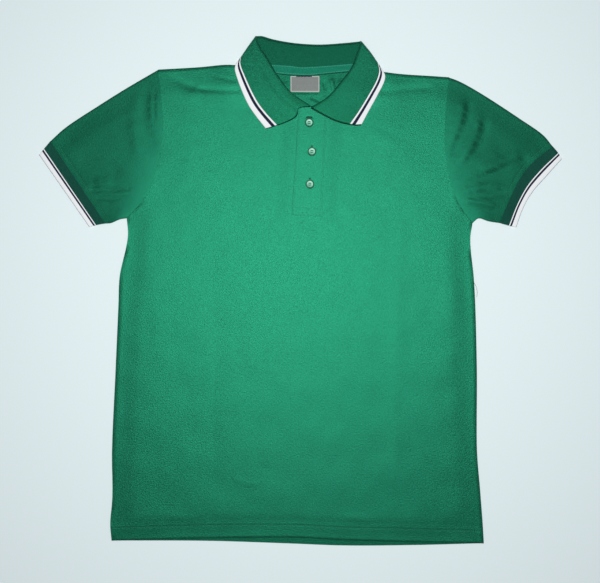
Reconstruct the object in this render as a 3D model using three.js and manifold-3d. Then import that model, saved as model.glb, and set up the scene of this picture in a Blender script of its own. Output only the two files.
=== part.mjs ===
// A short-sleeved polo shirt laid flat on its back, collar towards +Y. Millimetres, +Z up.
// Left is -X and right is +X, as the shirt is seen from above.
import * as THREE from "three";
import { mergeVertices } from "three/addons/utils/BufferGeometryUtils.js";
import Module from "manifold-3d";

const wasm = await Module();
wasm.setup();
const { lerp, clamp, smoothstep } = THREE.MathUtils;

// Walls, seams and the air between the layers
const cloth = 1.2;
const rib = 1.6;
const trim = 1;
const gap = 0.3;
const air = 1.3;
const airReach = 38;

// Hem, fold and collar sizes
const hemDepth = 24;
const hemRise = 0.6;
const edgeBend = 1.2;
const rollWidth = 3.2;
const collarLift = rib + gap;
const backRollTop = 4.8;
const backStandBase = 1.9;
const backStandTop = backRollTop - rib;
const frontStandBase = 4.1;
const frontStandTop = 5.9;
const leafRollTop = 10;
const seamLap = 2;
const tapeBase = 3.7;
const tapeTopEdge = 4.3;

// Buttons
const buttonRadius = 6.25;
const buttonHeight = 2.8;
const buttonRim = 1.3;
const buttonDish = 0.7;
const threadHole = 0.85;
const threadSpacing = 1.6;

// Edges of the left half. Columns: x, y.
const left = {
  side: [[-276.2, -365.4], [-278, -340], [-275, -300], [-275.6, -235], [-270.6, -120], [-266.2, -20],
    [-264.4, 20], [-252.2, 80], [-254, 106]],
  armhole: [[-254, 106], [-227.3, 135.6], [-210.5, 177.7], [-201, 236.2], [-202.6, 270], [-208, 323.4]],
  shoulder: [[-208, 323.4], [-150.5, 326.7], [-108.6, 330], [-78, 328]],
  frontNeck: [[-78, 328], [-67, 305], [-48, 285], [-25, 270], [-2, 265.4]],
  standNeck: [[-77.5, 328.5], [-66.4, 305.6], [-47.5, 285.6], [-24.7, 270.7], [-3, 266.4]],
  sleeveTop: [[-208, 323.4], [-254.2, 296.5], [-294.3, 271.4], [-344.7, 238], [-365.8, 218.9]],
  sleeveBottom: [[-254, 106], [-264.3, 104.2], [-277.5, 98.8], [-285.5, 98.2]],
  cuffSeam: [[-365.8, 218.9], [-285.5, 98.2]],
  cuffTop: [[-365.8, 218.9], [-376.5, 206.2], [-382.4, 199.4]],
  cuffBottom: [[-285.5, 98.2], [-296.1, 96.4], [-308.6, 93.2]],
  cuffEdge: [[-382.4, 199.4], [-308.6, 93.2]],
  roll: [[-65.5, 371.5], [-58, 353.5], [-49.8, 341.5], [-34, 315.5], [-13.6, 289.4], [13.4, 269.6]],
  crease: [[-65.5, 371.5], [-75, 358.3], [-87, 340.6], [-91.8, 334.2]],
  leafEdge: [[-91.8, 334.2], [-95.6, 325], [-92, 309], [-76.8, 272.6], [-65.7, 255.8], [-50.8, 236.8]],
  leafEnd: [[13.4, 269.6], [4, 268.6], [-2.6, 266.6], [-6.4, 254.5], [-22.9, 245.6], [-50.8, 236.8]],
};

// Edges of the right half. Columns: x, y.
const right = {
  side: [[268.1, -369.4], [266.4, -340], [262.6, -290], [258.2, -235], [258, -120], [255.6, -20],
    [253.3, 20], [248.2, 76], [251.5, 98.5]],
  armhole: [[251.5, 98.5], [232.7, 124], [220.9, 152.4], [211.4, 205], [211.7, 253], [217, 312.2]],
  shoulder: [[217, 312.2], [194.2, 313.8], [137.1, 317.6], [104.4, 322.2]],
  frontNeck: [[104.4, 322.2], [94, 302.5], [78, 285], [58, 271.5], [38.7, 264.6]],
  standNeck: [[103.8, 322.8], [93.4, 303.1], [77.5, 285.7], [57.7, 272.3], [38.6, 266.2], [19, 266.4]],
  sleeveTop: [[217, 312.2], [232.1, 306.5], [262.2, 289.8], [320.8, 251.8], [355.7, 227.2], [368.9, 211.3]],
  sleeveBottom: [[251.5, 98.5], [260.6, 105.6], [274.9, 101.5], [291, 98.9]],
  cuffSeam: [[368.9, 211.3], [338.3, 186.2], [320.8, 164], [306.6, 135.5], [291, 98.9]],
  cuffTop: [[368.9, 211.3], [376, 203], [382.4, 193.5]],
  cuffBottom: [[291, 98.9], [305, 95], [315.2, 92.7]],
  cuffEdge: [[382.4, 193.5], [358.9, 167], [338.3, 143.4], [325.6, 121.2], [315.2, 92.7]],
  roll: [[88.5, 364.5], [82.2, 346.2], [73.7, 325], [59.9, 306.2], [39.3, 282.8], [18, 268.3]],
  crease: [[88.5, 364.5], [101.8, 348.1], [110.1, 335.9], [117.4, 324.6]],
  leafEdge: [[117.4, 324.6], [123.1, 314.5], [122.4, 306], [111, 282.8], [101.8, 266.2], [89.4, 243]],
  leafEnd: [[18, 268.3], [39.3, 254.9], [55.2, 247.5], [78.4, 242.6], [89.4, 243]],
};

// Edges that lie across the middle, each from left to right. Columns: x, y.
const middle = {
  frontHem: [[-276.2, -365.4], [-131.4, -362.2], [-10, -361], [62.9, -364.6], [160.6, -367.6],
    [268.1, -369.4]],
  backHem: [[-276.2, -365.4], [-131.4, -366], [-15.3, -369.8], [62.9, -372.7], [170.4, -372],
    [268.1, -369.4]],
  backNeck: [[-78, 328], [-30, 322], [15.3, 320.8], [60, 322], [104.4, 322.2]],
  collarTop: [[-65.5, 371.5], [-57, 372.4], [-39.6, 367.6], [-10, 362.3], [27.2, 359.9], [62, 362],
    [88.5, 364.5]],
  fallEdge: [[-91.8, 334.2], [-86, 319], [-50, 311], [10, 308.5], [90, 310.5], [112, 316], [117.4, 324.6]],
  tapeTop: [[-46, 330.2], [-13.6, 328.1], [-0.7, 326.4], [27, 327.5], [79, 331.4]],
  tapeBottom: [[-40, 317.4], [-19.1, 314.9], [13.9, 313.8], [27.2, 315.2], [73, 319.8]],
  labelTop: [[-14.7, 313.4], [27.7, 313.5]],
  labelBottom: [[-14.5, 290.4], [27.7, 290]],
  placketLeft: [[-12.9, 110.6], [-10.1, 154.6], [-7.4, 190], [-4.4, 240], [-2, 265.4]],
  placketRight: [[31.4, 108.3], [32.6, 150], [36, 215], [38.7, 264.6]],
  centreLeft: [[-10, -361], [-12.9, 110.6]],
  centreRight: [[31, -363], [31.4, 108.3]],
};

// Button centres, top to bottom. Columns: x, y.
const buttonPlaces = {
  button_top: [12.7, 244.8],
  button_middle: [16.6, 202.8],
  button_bottom: [13.7, 155.2],
};

// The largest folds in the upper layer. Columns: the fold's line, its height and its half width.
const folds = [
  { line: [[-190, 316], [-158, 300], [-96, 292]], height: -1, width: 12 },
  { line: [[-176, 290], [-140, 284]], height: 1.6, width: 13 },
  { line: [[-227, 287], [-227, 236], [-214, 196]], height: -1.2, width: 11 },
  { line: [[-214, 290], [-215, 244]], height: 2.4, width: 10 },
  { line: [[-246, 255], [-234, 190]], height: 2.2, width: 11 },
  { line: [[-304, 150], [-272, 144]], height: 2, width: 10 },
  { line: [[-281, 170], [-226, 164]], height: 1.8, width: 11 },
  { line: [[-262, 118], [-238, 128]], height: 2.2, width: 9 },
  { line: [[151, 300], [188, 302]], height: 1.6, width: 12 },
  { line: [[114, 287], [188, 290]], height: -1, width: 11 },
  { line: [[246, 270], [241, 243], [218, 197]], height: 2.4, width: 11 },
  { line: [[272, 246], [245, 198], [226, 176]], height: 2.2, width: 11 },
  { line: [[329, 196], [299, 184], [243, 157]], height: 2.6, width: 11 },
  { line: [[302, 147], [256, 135]], height: 2.2, width: 11 },
  { line: [[250, 121], [274, 117]], height: -1, width: 8 },
  { line: [[-182, 197], [-141, 205]], height: 1.4, width: 16 },
  { line: [[-164, 160], [-65, 163]], height: 1.4, width: 17 },
  { line: [[104, 238], [151, 216]], height: 1.6, width: 16 },
  { line: [[-20, 98], [-40, 78]], height: 1.6, width: 14 },
  { line: [[-126, 74], [-122, -110], [-127, -290]], height: -1, width: 10 },
  { line: [[145, 97], [140, -100], [136, -290]], height: 1.5, width: 10 },
  { line: [[-220, 40], [-200, -120]], height: 1.2, width: 20 },
  { line: [[222, 30], [205, -150]], height: 1.2, width: 20 },
];

// A smooth curve through rows of x and y, with t from 0 to 1 along its length.
function curve(rows) {
  const points = rows.map(([x, y]) => new THREE.Vector3(x, y, 0));
  const spline = new THREE.CatmullRomCurve3(points, false, "centripetal");
  return (t) => spline.getPointAt(clamp(t, 0, 1));
}

// The curves of one table, by the same names.
function curves(table) {
  return Object.fromEntries(Object.entries(table).map(([name, rows]) => [name, curve(rows)]));
}

const onLeft = curves(left);
const onRight = curves(right);
const onMiddle = curves(middle);

function reversed(line) {
  return (t) => line(1 - t);
}

function stretch(line, from, to) {
  return (t) => line(lerp(from, to, t));
}

// Several curves end to end. Each entry is a curve and the t at which it ends.
function chain(...entries) {
  return (t) => {
    const index = entries.findIndex(([, end]) => t <= end + 1e-9);
    const [line, end] = entries[index];
    const start = index > 0 ? entries[index - 1][1] : 0;
    return line((t - start) / (end - start));
  };
}

// The area between four edges, where bottom and top run along u, and first and last along v.
function area(bottom, top, first, last) {
  return (u, v) => {
    const point = bottom(u).multiplyScalar(1 - v);
    point.addScaledVector(top(u), v);
    point.addScaledVector(first(v), 1 - u);
    point.addScaledVector(last(v), u);
    point.addScaledVector(bottom(0), -(1 - u) * (1 - v));
    point.addScaledVector(bottom(1), -u * (1 - v));
    point.addScaledVector(top(0), -(1 - u) * v);
    point.addScaledVector(top(1), -u * v);
    return point;
  };
}

// Evenly spaced values from one number to another.
function steps(from, to, count) {
  return Array.from({ length: count + 1 }, (_, index) => lerp(from, to, index / count));
}

// The distance from a point to a line of points.
const nearest = new THREE.Vector3();
const segment = new THREE.Line3();
function distanceTo(line, x, y) {
  const point = new THREE.Vector3(x, y, 0);
  let best = Infinity;
  for (let index = 1; index < line.length; index += 1) {
    segment.set(line[index - 1], line[index]);
    segment.closestPointToPoint(point, true, nearest);
    best = Math.min(best, nearest.distanceTo(point));
  }
  return best;
}

const outline = [
  onLeft.side, onLeft.sleeveBottom, onLeft.cuffBottom, reversed(onLeft.cuffEdge),
  reversed(onLeft.cuffTop), reversed(onLeft.sleeveTop), onLeft.shoulder, reversed(onRight.shoulder),
  onRight.sleeveTop, onRight.cuffTop, onRight.cuffEdge, reversed(onRight.cuffBottom),
  reversed(onRight.sleeveBottom), reversed(onRight.side), reversed(onMiddle.frontHem),
].flatMap((line) => steps(0, 1, 10).map((t) => line(t)));
const foldLines = folds.map(({ line }) => line.map(([x, y]) => new THREE.Vector3(x, y, 0)));

// Heights of the layers. The body rises over the collar's fall, which lies under the back.
function lift(x, y) {
  const across = smoothstep(x, -140, -97) * (1 - smoothstep(x, 122, 165));
  return collarLift * across * smoothstep(y, 262, 305);
}

function backHigh(x, y) {
  return lift(x, y) + cloth;
}

function foldHeight(x, y) {
  return folds.reduce((sum, { height, width }, index) => {
    const away = distanceTo(foldLines[index], x, y) / width;
    return sum + height * Math.exp(-away * away);
  }, 0);
}

// The air under the upper layer is none at the outline and opens inwards.
function airHeight(x, y) {
  const open = smoothstep(distanceTo(outline, x, y), 3, airReach);
  return open * Math.max(0, air + foldHeight(x, y));
}

function frontLow(x, y) {
  return backHigh(x, y) + gap + airHeight(x, y);
}

function frontHigh(x, y) {
  return frontLow(x, y) + cloth;
}

// Rows of the mesh from underarm to shoulder, shared by the panels and the sleeves
const armholeRows = 12;

// A mesh's shape with its faces turned outwards.
function closedShape(positions, triangles) {
  const geometry = new THREE.BufferGeometry();
  geometry.setAttribute("position", new THREE.Float32BufferAttribute(positions, 3));
  const corner = [0, 1, 2].map(() => new THREE.Vector3());
  let volume = 0;
  for (const triangle of triangles) {
    triangle.forEach((point, index) => corner[index].fromArray(positions, 3 * point));
    volume += corner[0].dot(corner[1].cross(corner[2]));
  }
  geometry.setIndex(triangles.flatMap(([a, b, c]) => (volume > 0 ? [a, b, c] : [a, c, b])));
  geometry.computeVertexNormals();
  return geometry;
}

// A wall over an area, from low to high, at the given u and v. Cells that keep turns down are left open.
function wall(place, us, vs, low, high, keep = () => true) {
  const positions = [];
  const triangles = [];
  const numbers = new Map();
  const vertex = (column, row, top) => {
    const key = `${column} ${row} ${top}`;
    if (!numbers.has(key)) {
      const { x, y } = place(us[column], vs[row]);
      numbers.set(key, positions.length / 3);
      positions.push(x, y, (top ? high : low)(x, y, us[column], vs[row]));
    }
    return numbers.get(key);
  };
  const edges = new Map();
  for (let row = 0; row < vs.length - 1; row += 1) {
    for (let column = 0; column < us.length - 1; column += 1) {
      if (keep(us[column], vs[row])) {
        const ring = [[column, row], [column + 1, row], [column + 1, row + 1], [column, row + 1]];
        const upper = ring.map(([c, r]) => vertex(c, r, true));
        const lower = ring.map(([c, r]) => vertex(c, r, false));
        triangles.push([upper[0], upper[1], upper[2]], [upper[0], upper[2], upper[3]]);
        triangles.push([lower[0], lower[2], lower[1]], [lower[0], lower[3], lower[2]]);
        ring.forEach((start, index) => {
          const end = ring[(index + 1) % 4];
          edges.set(`${start} ${end}`, [start, end]);
        });
      }
    }
  }
  for (const [start, end] of edges.values()) {
    if (!edges.has(`${end} ${start}`)) {
      const [lowStart, highStart] = [false, true].map((top) => vertex(...start, top));
      const [lowEnd, highEnd] = [false, true].map((top) => vertex(...end, top));
      triangles.push([lowStart, lowEnd, highEnd], [lowStart, highEnd, highStart]);
    }
  }
  return closedShape(positions, triangles);
}

// A flattened tube, open at the first and last u and folded at v = 0 and v = 1. The lengths are those
// of its two folded edges, and the seams are what it leaves free at its two open ends.
function tube(place, along, lengths, seams, thickness, low, high) {
  const positions = [];
  const triangles = [];
  const ring = (step, inner) => {
    const inset = inner ? thickness : 0;
    const at = (v) => {
      const length = lerp(lengths[0], lengths[1], v);
      return place(lerp(seams[0] / length, 1 - seams[1] / length, step / along), v);
    };
    const width = at(0).distanceTo(at(1));
    const first = inset / width;
    const second = (inset + (inner ? gap : edgeBend)) / width;
    const vs = [first, second, ...steps(0, 1, armholeRows).slice(1, -1), 1 - second, 1 - first];
    const lower = vs.map(at).map(({ x, y }) => [x, y, low(x, y) + inset]);
    const upper = vs.map(at).map(({ x, y }) => [x, y, high(x, y) - inset]);
    lower[0][2] = (lower[0][2] + upper[0][2]) / 2;
    lower.at(-1)[2] = (lower.at(-1)[2] + upper.at(-1)[2]) / 2;
    const start = positions.length / 3;
    const points = [...lower, ...upper.slice(1, -1).reverse()];
    positions.push(...points.flat());
    return points.map((_, index) => start + index);
  };
  const strip = (one, two) => {
    one.forEach((point, index) => {
      const next = (index + 1) % one.length;
      triangles.push([point, two[index], two[next]], [point, two[next], one[next]]);
    });
  };
  const rings = steps(0, along, along).map((step) => [ring(step, false), ring(step, true)]);
  for (let step = 0; step < along; step += 1) {
    strip(rings[step][0], rings[step + 1][0]);
    strip(rings[step + 1][1], rings[step][1]);
  }
  strip(rings[0][1], rings[0][0]);
  strip(rings[along][0], rings[along][1]);
  return closedShape(positions, triangles);
}

// Joining and cutting of closed shapes
function solidOf(geometry) {
  const bare = geometry.clone();
  bare.deleteAttribute("normal");
  bare.deleteAttribute("uv");
  const merged = mergeVertices(bare, 1e-4);
  const vertProperties = new Float32Array(merged.attributes.position.array);
  const triVerts = new Uint32Array(merged.index.array);
  return new wasm.Manifold(new wasm.Mesh({ numProp: 3, vertProperties, triVerts }));
}

function geometryOf(solid) {
  const { vertProperties, triVerts } = solid.simplify(0.01).getMesh();
  const geometry = new THREE.BufferGeometry();
  geometry.setAttribute("position", new THREE.BufferAttribute(vertProperties, 3));
  geometry.setIndex(new THREE.BufferAttribute(triVerts, 1));
  geometry.computeVertexNormals();
  return geometry;
}

function joined(geometries) {
  return geometryOf(geometries.map(solidOf).reduce((whole, solid) => whole.add(solid)));
}

// Body panels. The share is how far up v the side seam ends and the armhole starts.
const sideShare = 0.66;
const placketColumns = [0.488, 0.564];
const hemShare = (sideShare * hemDepth) / onLeft.side(0).distanceTo(onLeft.side(1));
const hemRows = [0, hemShare / 2, hemShare - 0.003, hemShare + 0.003];
const sideRows = steps(hemShare + 0.03, sideShare, 15);
const bodyRows = [...hemRows, ...sideRows, ...steps(sideShare, 1, armholeRows).slice(1)];
const leftSide = chain([onLeft.side, sideShare], [onLeft.armhole, 1]);
const rightSide = chain([onRight.side, sideShare], [onRight.armhole, 1]);

function backPanel() {
  const top = chain([onLeft.shoulder, 0.36], [onMiddle.backNeck, 0.7], [reversed(onRight.shoulder), 1]);
  const columns = [...steps(0, 0.36, 8), ...steps(0.36, 0.7, 8).slice(1), ...steps(0.7, 1, 7).slice(1)];
  const rows = [...steps(0, sideShare, 12), ...steps(sideShare, 1, armholeRows).slice(1)];
  return wall(area(onMiddle.backHem, top, leftSide, rightSide), columns, rows, lift, backHigh);
}

// The front is three areas side by side, and the placket's slot is left open in the middle one.
const centreLeft = chain([onMiddle.centreLeft, sideShare], [onMiddle.placketLeft, 1]);
const centreRight = chain([onMiddle.centreRight, sideShare], [onMiddle.placketRight, 1]);
const placketTop = curve([middle.placketLeft.at(-1), middle.placketRight.at(-1)]);
const slot = area(stretch(onMiddle.frontHem, ...placketColumns), placketTop, centreLeft, centreRight);

function frontPanel() {
  const leftTop = chain([onLeft.shoulder, 0.6], [onLeft.frontNeck, 1]);
  const rightTop = chain([reversed(onRight.frontNeck), 0.45], [reversed(onRight.shoulder), 1]);
  const leftPart = area(stretch(onMiddle.frontHem, 0, placketColumns[0]), leftTop, leftSide, centreLeft);
  const rightPart = area(stretch(onMiddle.frontHem, placketColumns[1], 1), rightTop, centreRight, rightSide);
  const place = (u, v) => {
    if (u <= 1) return leftPart(u, v);
    return u < 2 ? slot(u - 1, v) : rightPart(u - 2, v);
  };
  const leftColumns = [...steps(0, 0.6, 9), ...steps(0.6, 1, 5).slice(1)];
  const rightColumns = [...steps(2, 2.45, 5), ...steps(2.45, 3, 8).slice(1)];
  const columns = [...leftColumns, 1.5, ...rightColumns];
  const high = (x, y, u, v) => frontHigh(x, y) + (v < hemShare ? hemRise : 0);
  const solidCell = (u, v) => u < 1 - 1e-6 || u > 2 - 1e-6 || v < sideShare - 1e-6;
  return wall(place, columns, bodyRows, frontLow, high, solidCell);
}

// The two placket strips fill the slot, one over the other, parted from the front by the seam's gap.
const slotWidth = 43;
const slotLength = 156;
const stripColumns = steps(gap / slotWidth, 1 - gap / slotWidth, 4);
const stripRows = steps(sideShare + (1 - sideShare) * (gap / slotLength), 1, 14);

function placketLow(x, y) {
  return frontLow(x, y) + cloth + gap;
}

function placketHigh(x, y) {
  return placketLow(x, y) + cloth;
}

// A sleeve or cuff between its two end edges, u running from the body outwards.
function sleeve(half, inner) {
  const place = area(half.sleeveBottom, half.sleeveTop, inner, reversed(half.cuffSeam));
  return tube(place, 12, [33, 189], [gap, gap / 2], cloth, () => 0, frontHigh);
}

function cuff(half) {
  const place = area(half.cuffBottom, half.cuffTop, reversed(half.cuffSeam), reversed(half.cuffEdge));
  const high = (x, y) => frontHigh(x, y) + 2 * (rib - cloth);
  return tube(place, 3, [23.5, 25.5], [gap / 2, 0], rib, () => 0, high);
}

// Collar: a leaf over a stand on each side of the front, and a stand over a fall at the back.
const leafWidth = 50;
const leafLength = 115;
const standWidth = 40;
const foldedEdge = [0, 0.25, 0.6, 1];
const bulge = [0.35, 0.75, 0.95, 1];

// The rounded height of a fold at the given share of its width in from the edge.
function rounded(low, high, share) {
  const index = Math.max(0, foldedEdge.findLastIndex((edge) => share >= edge - 1e-6));
  return lerp((low + high) / 2, high, bulge[index]);
}

function leafGround(x, y) {
  const overPlacket = 1 - smoothstep(Math.abs(x - 16), 26, 40);
  return frontHigh(x, y) + gap + 0.2 + overPlacket * (cloth + gap);
}

function leafLow(x, y, v) {
  return lerp(leafRollTop - rib, leafGround(x, y), smoothstep(v, 0, 1));
}

function frontStandLow(t) {
  return lerp(frontStandBase, frontStandTop, Math.sqrt(t));
}

function backStandLow(t) {
  return lerp(backStandBase, backStandTop, t);
}

function collarSide(half, edges) {
  const leaf = area(half.roll, half.leafEdge, half.crease, half.leafEnd);
  const low = (x, y, u, v) => leafLow(x, y, v);
  const high = (x, y, u, v) => leafLow(x, y, v) + rib;
  const leafRows = [seamLap / leafWidth, ...steps(0.12, 1, 5)];
  const leafWall = wall(leaf, steps(seamLap / leafLength, 1, 12), leafRows, low, high);

  const standStart = curve([edges.standNeck[0], edges.roll[0]]);
  const standEnd = curve([edges.standNeck.at(-1), edges.roll.at(-1)]);
  const stand = area(half.standNeck, half.roll, standStart, standEnd);
  const standLow = (x, y, u, v) => frontStandLow(v);
  const standHigh = (x, y, u, v) => frontStandLow(v) + rib;
  const standColumns = steps(seamLap / leafLength, 1, 12);
  const standWall = wall(stand, standColumns, steps(0, 0.93, 3), standLow, standHigh);

  const rollRows = foldedEdge.map((share) => (share * rollWidth) / leafWidth);
  const rollHigh = (x, y, u, v) => rounded(frontStandTop, leafRollTop, (v * leafWidth) / rollWidth);
  const rollLow = (x, y, u, v) => frontStandTop + leafRollTop - rollHigh(x, y, u, v);
  const roll = wall(leaf, steps(0, 1, 12), rollRows, rollLow, rollHigh);

  const turnColumns = foldedEdge.map((share) => (share * rollWidth) / leafLength);
  const turnHigh = (x, y, u, v) => rounded(0, high(x, y, u, v), (u * leafLength) / rollWidth);
  const turnLow = (x, y, u, v) => high(x, y, u, v) - turnHigh(x, y, u, v);
  const turn = wall(leaf, turnColumns, steps(0, 1, 4), turnLow, turnHigh);
  return [leafWall, standWall, roll, turn];
}

function collarBack() {
  const stand = between(middle.backNeck, middle.collarTop);
  const base = 0.5 / standWidth;
  const standLow = (x, y, u, v) => backStandLow(v);
  const standHigh = (x, y, u, v) => backStandLow(v) + rib;
  const standWall = wall(stand, steps(0.01, 0.99, 14), steps(base, 0.95, 3), standLow, standHigh);

  const fall = area(onMiddle.fallEdge, onMiddle.collarTop, reversed(onLeft.crease), reversed(onRight.crease));
  const fallWall = wall(fall, steps(0.01, 0.99, 14), [0, 0.5, 0.97], () => 0, () => rib);

  const rollRows = foldedEdge.map((share) => 1 - (share * rollWidth) / standWidth).reverse();
  const rollHigh = (x, y, u, v) => rounded(0, backRollTop, ((1 - v) * standWidth) / rollWidth);
  const rollLow = (x, y, u, v) => backRollTop - rollHigh(x, y, u, v);
  const roll = wall(stand, steps(0, 1, 14), rollRows, rollLow, rollHigh);

  // The stand turns over at each side of the neck, from the back to the front.
  const turnHigh = (x, y, u, v) => frontStandLow(v) + rib;
  const turnRows = steps(base, 1, 4);
  const turns = [[0.001, 0.02], [0.98, 0.999]].map((us) => wall(stand, us, turnRows, standLow, turnHigh));
  return [fallWall, standWall, roll, ...turns];
}

// The area between two rows of a table, closed by straight lines at its two ends.
function between(bottomRows, topRows) {
  const first = curve([bottomRows[0], topRows[0]]);
  const last = curve([bottomRows.at(-1), topRows.at(-1)]);
  return area(curve(bottomRows), curve(topRows), first, last);
}

// The tape covers the back neck seam, and the label is sewn in below it.
function neckTape() {
  const low = (x, y, u, v) => lerp(tapeBase, tapeTopEdge, v);
  const high = (x, y, u, v) => low(x, y, u, v) + trim;
  return wall(between(middle.tapeBottom, middle.tapeTop), steps(0, 1, 14), [0, 1], low, high);
}

function neckLabel() {
  const low = (x, y) => backHigh(x, y) + gap;
  const high = (x, y) => low(x, y) + trim;
  return wall(between(middle.labelBottom, middle.labelTop), steps(0, 1, 5), steps(0, 1, 4), low, high);
}

// A four-hole button, rounded at its rim and dished inside it.
function button() {
  const top = buttonHeight - buttonDish;
  const profile = [
    [0, 0], [buttonRadius - 0.9, 0], [buttonRadius, 0.9], [buttonRadius - 0.1, buttonHeight - 0.8],
    [buttonRadius - 0.7, buttonHeight], [buttonRadius - buttonRim, buttonHeight],
    [buttonRadius - 2.2, top], [0, top],
  ].map(([x, y]) => new THREE.Vector2(x, y));
  const disc = solidOf(new THREE.LatheGeometry(profile, 22).rotateX(Math.PI / 2));
  const holes = [[1, 1], [-1, 1], [-1, -1], [1, -1]].map(([x, y]) => {
    const hole = new THREE.CylinderGeometry(threadHole, threadHole, 3 * buttonHeight, 7);
    return solidOf(hole.rotateX(Math.PI / 2).translate(x * threadSpacing, y * threadSpacing, 0));
  });
  return geometryOf(holes.reduce((solid, hole) => solid.subtract(hole), disc));
}

// Finishes
const finish = (color, roughness) => new THREE.MeshStandardMaterial({ color, roughness, metalness: 0 });
const pique = finish("#1c7459", 0.75);
const ribKnit = finish("#1a7a5c", 0.85);
const darkRib = finish("#143f37", 0.85);
const tapeWeave = finish("#28806a", 0.8);
const labelWeave = finish("#a4a9ab", 0.7);
const buttonGloss = finish("#4fa98a", 0.25);

const shirt = new THREE.Group();
function add(name, geometry, material) {
  const mesh = new THREE.Mesh(geometry, material);
  mesh.name = name;
  shirt.add(mesh);
  return mesh;
}

add("back_panel", backPanel(), pique);
add("front_panel", frontPanel(), pique);
add("sleeve_left", sleeve(onLeft, onLeft.armhole), pique);
add("sleeve_right", sleeve(onRight, onRight.armhole), pique);
add("cuff_left", cuff(onLeft), darkRib);
add("cuff_right", cuff(onRight), darkRib);
const collarParts = [...collarBack(), ...collarSide(onLeft, left), ...collarSide(onRight, right)];
add("collar", joined(collarParts), ribKnit);
add("placket_lower", wall(slot, stripColumns, stripRows, frontLow, frontHigh), pique);
add("placket_upper", wall(slot, stripColumns, stripRows, placketLow, placketHigh), pique);
add("neck_tape", neckTape(), tapeWeave);
add("neck_label", neckLabel(), labelWeave);
for (const [name, [x, y]] of Object.entries(buttonPlaces)) {
  const underRim = steps(0, 2 * Math.PI, 8).map((turn) => {
    return placketHigh(x + buttonRadius * Math.cos(turn), y + buttonRadius * Math.sin(turn));
  });
  add(name, button(), buttonGloss).position.set(x, y, Math.max(...underRim) + gap);
}

// The origin is the middle of the shirt's box, on the surface that it lies on.
const box = new THREE.Box3().setFromObject(shirt);
const centre = box.getCenter(new THREE.Vector3());
shirt.position.set(-centre.x, -centre.y, -box.min.z);

export default shirt;
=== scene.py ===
# %% [markdown]
# # A polo shirt laid flat
# A short-sleeved polo lies on its back on a pale table, and the camera looks straight down on it. The cloth
# is a pique knit, and the collar and cuffs are flat-knit ribs with woven-looking tipping stripes. The
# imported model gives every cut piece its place, so this lesson starts by loading it, and then dresses each
# piece with a finer surface, small creases, stitches and a knitted finish.

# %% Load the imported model
import math
from collections import namedtuple

import bmesh
import bpy
import numpy as np
from mathutils import Matrix, Vector


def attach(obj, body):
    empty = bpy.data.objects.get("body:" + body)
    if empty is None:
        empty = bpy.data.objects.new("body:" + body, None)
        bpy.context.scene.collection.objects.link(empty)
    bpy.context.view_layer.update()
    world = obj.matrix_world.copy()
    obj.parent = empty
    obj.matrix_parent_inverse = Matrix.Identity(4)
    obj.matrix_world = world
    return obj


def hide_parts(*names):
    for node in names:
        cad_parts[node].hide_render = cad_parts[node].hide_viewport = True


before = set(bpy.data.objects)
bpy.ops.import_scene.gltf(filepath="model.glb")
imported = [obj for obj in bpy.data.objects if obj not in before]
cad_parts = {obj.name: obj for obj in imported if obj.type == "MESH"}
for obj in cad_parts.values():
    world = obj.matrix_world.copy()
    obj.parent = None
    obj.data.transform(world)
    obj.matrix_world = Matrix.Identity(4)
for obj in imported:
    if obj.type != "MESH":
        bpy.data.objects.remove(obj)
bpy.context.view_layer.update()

print("nodes", sorted(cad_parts))

# %% [markdown]
# ## Drawing the edges
# A cut piece is known by its edges. Each edge is a short table of points, in millimetres, that a smooth
# curve runs through. The curve answers one question: where is the point at a given share of its length? An
# array of shares goes in and an array of points in metres comes out, so a whole mesh is placed at once.

# %% Smooth curves through short tables
MM = 0.001
ZERO = np.array([0.0, 0.43])  # where the drawing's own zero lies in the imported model, in millimetres
CURVE_STEPS = 40


def drawn(rows):
    """Points of the drawing, given as rows of x and y in millimetres, in metres."""
    return (np.array(rows, float) + ZERO) * MM


def curve(rows):
    """A smooth curve through rows of x and y in millimetres, as a function of the share of its length."""
    points = drawn(rows)
    dense = points
    if len(points) > 2:
        ends = [2 * points[0] - points[1], *points, 2 * points[-1] - points[-2]]
        share = np.linspace(0, 1, CURVE_STEPS, endpoint=False)[:, None]
        spans = []
        for before, start, end, after in zip(ends, ends[1:], ends[2:], ends[3:]):
            pairs = ((before, start), (start, end), (end, after))
            last, here, next_one = (np.linalg.norm(b - a) ** 0.5 for a, b in pairs)
            leave = (start - before) / last - (end - before) / (last + here) + (end - start) / here
            reach = (end - start) / here - (after - start) / (here + next_one) + (after - end) / next_one
            leave, reach = leave * here, reach * here
            square = 3 * (end - start) - 2 * leave - reach
            cube = 2 * (start - end) + leave + reach
            spans.append(start + leave * share + square * share**2 + cube * share**3)
        dense = np.vstack([*spans, points[-1]])
    steps = np.linalg.norm(np.diff(dense, axis=0), axis=1)
    along = np.concatenate([[0], np.cumsum(steps)])

    def at(share):
        place = np.clip(share, 0, 1) * along[-1]
        return np.stack([np.interp(place, along, dense[:, axis]) for axis in (0, 1)], axis=-1)

    at.length = along[-1]
    return at


test_line = curve([(0, 0), (100, 40), (200, 0)])
print("a curve through three points is", round(test_line.length / MM, 1), "mm long")

# %% Parts of curves, and the areas between them
def reverse(line):
    """The same curve, run from its end."""
    return lambda share: line(1 - np.asarray(share, float))


def stretch(line, start, end):
    """A part of a curve."""
    return lambda share: line(start + (end - start) * np.asarray(share, float))


def chain(*parts):
    """Several curves end to end. Each part is a curve and the share at which it ends."""
    def at(share):
        share = np.asarray(share, float)
        points = np.zeros(share.shape + (2,))
        start = 0
        for line, end in parts:
            here = (share <= end + 1e-9) & ((share > start + 1e-9) | (start == 0))
            points[here] = line((share[here] - start) / (end - start))
            start = end
        return points
    return at


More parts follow.
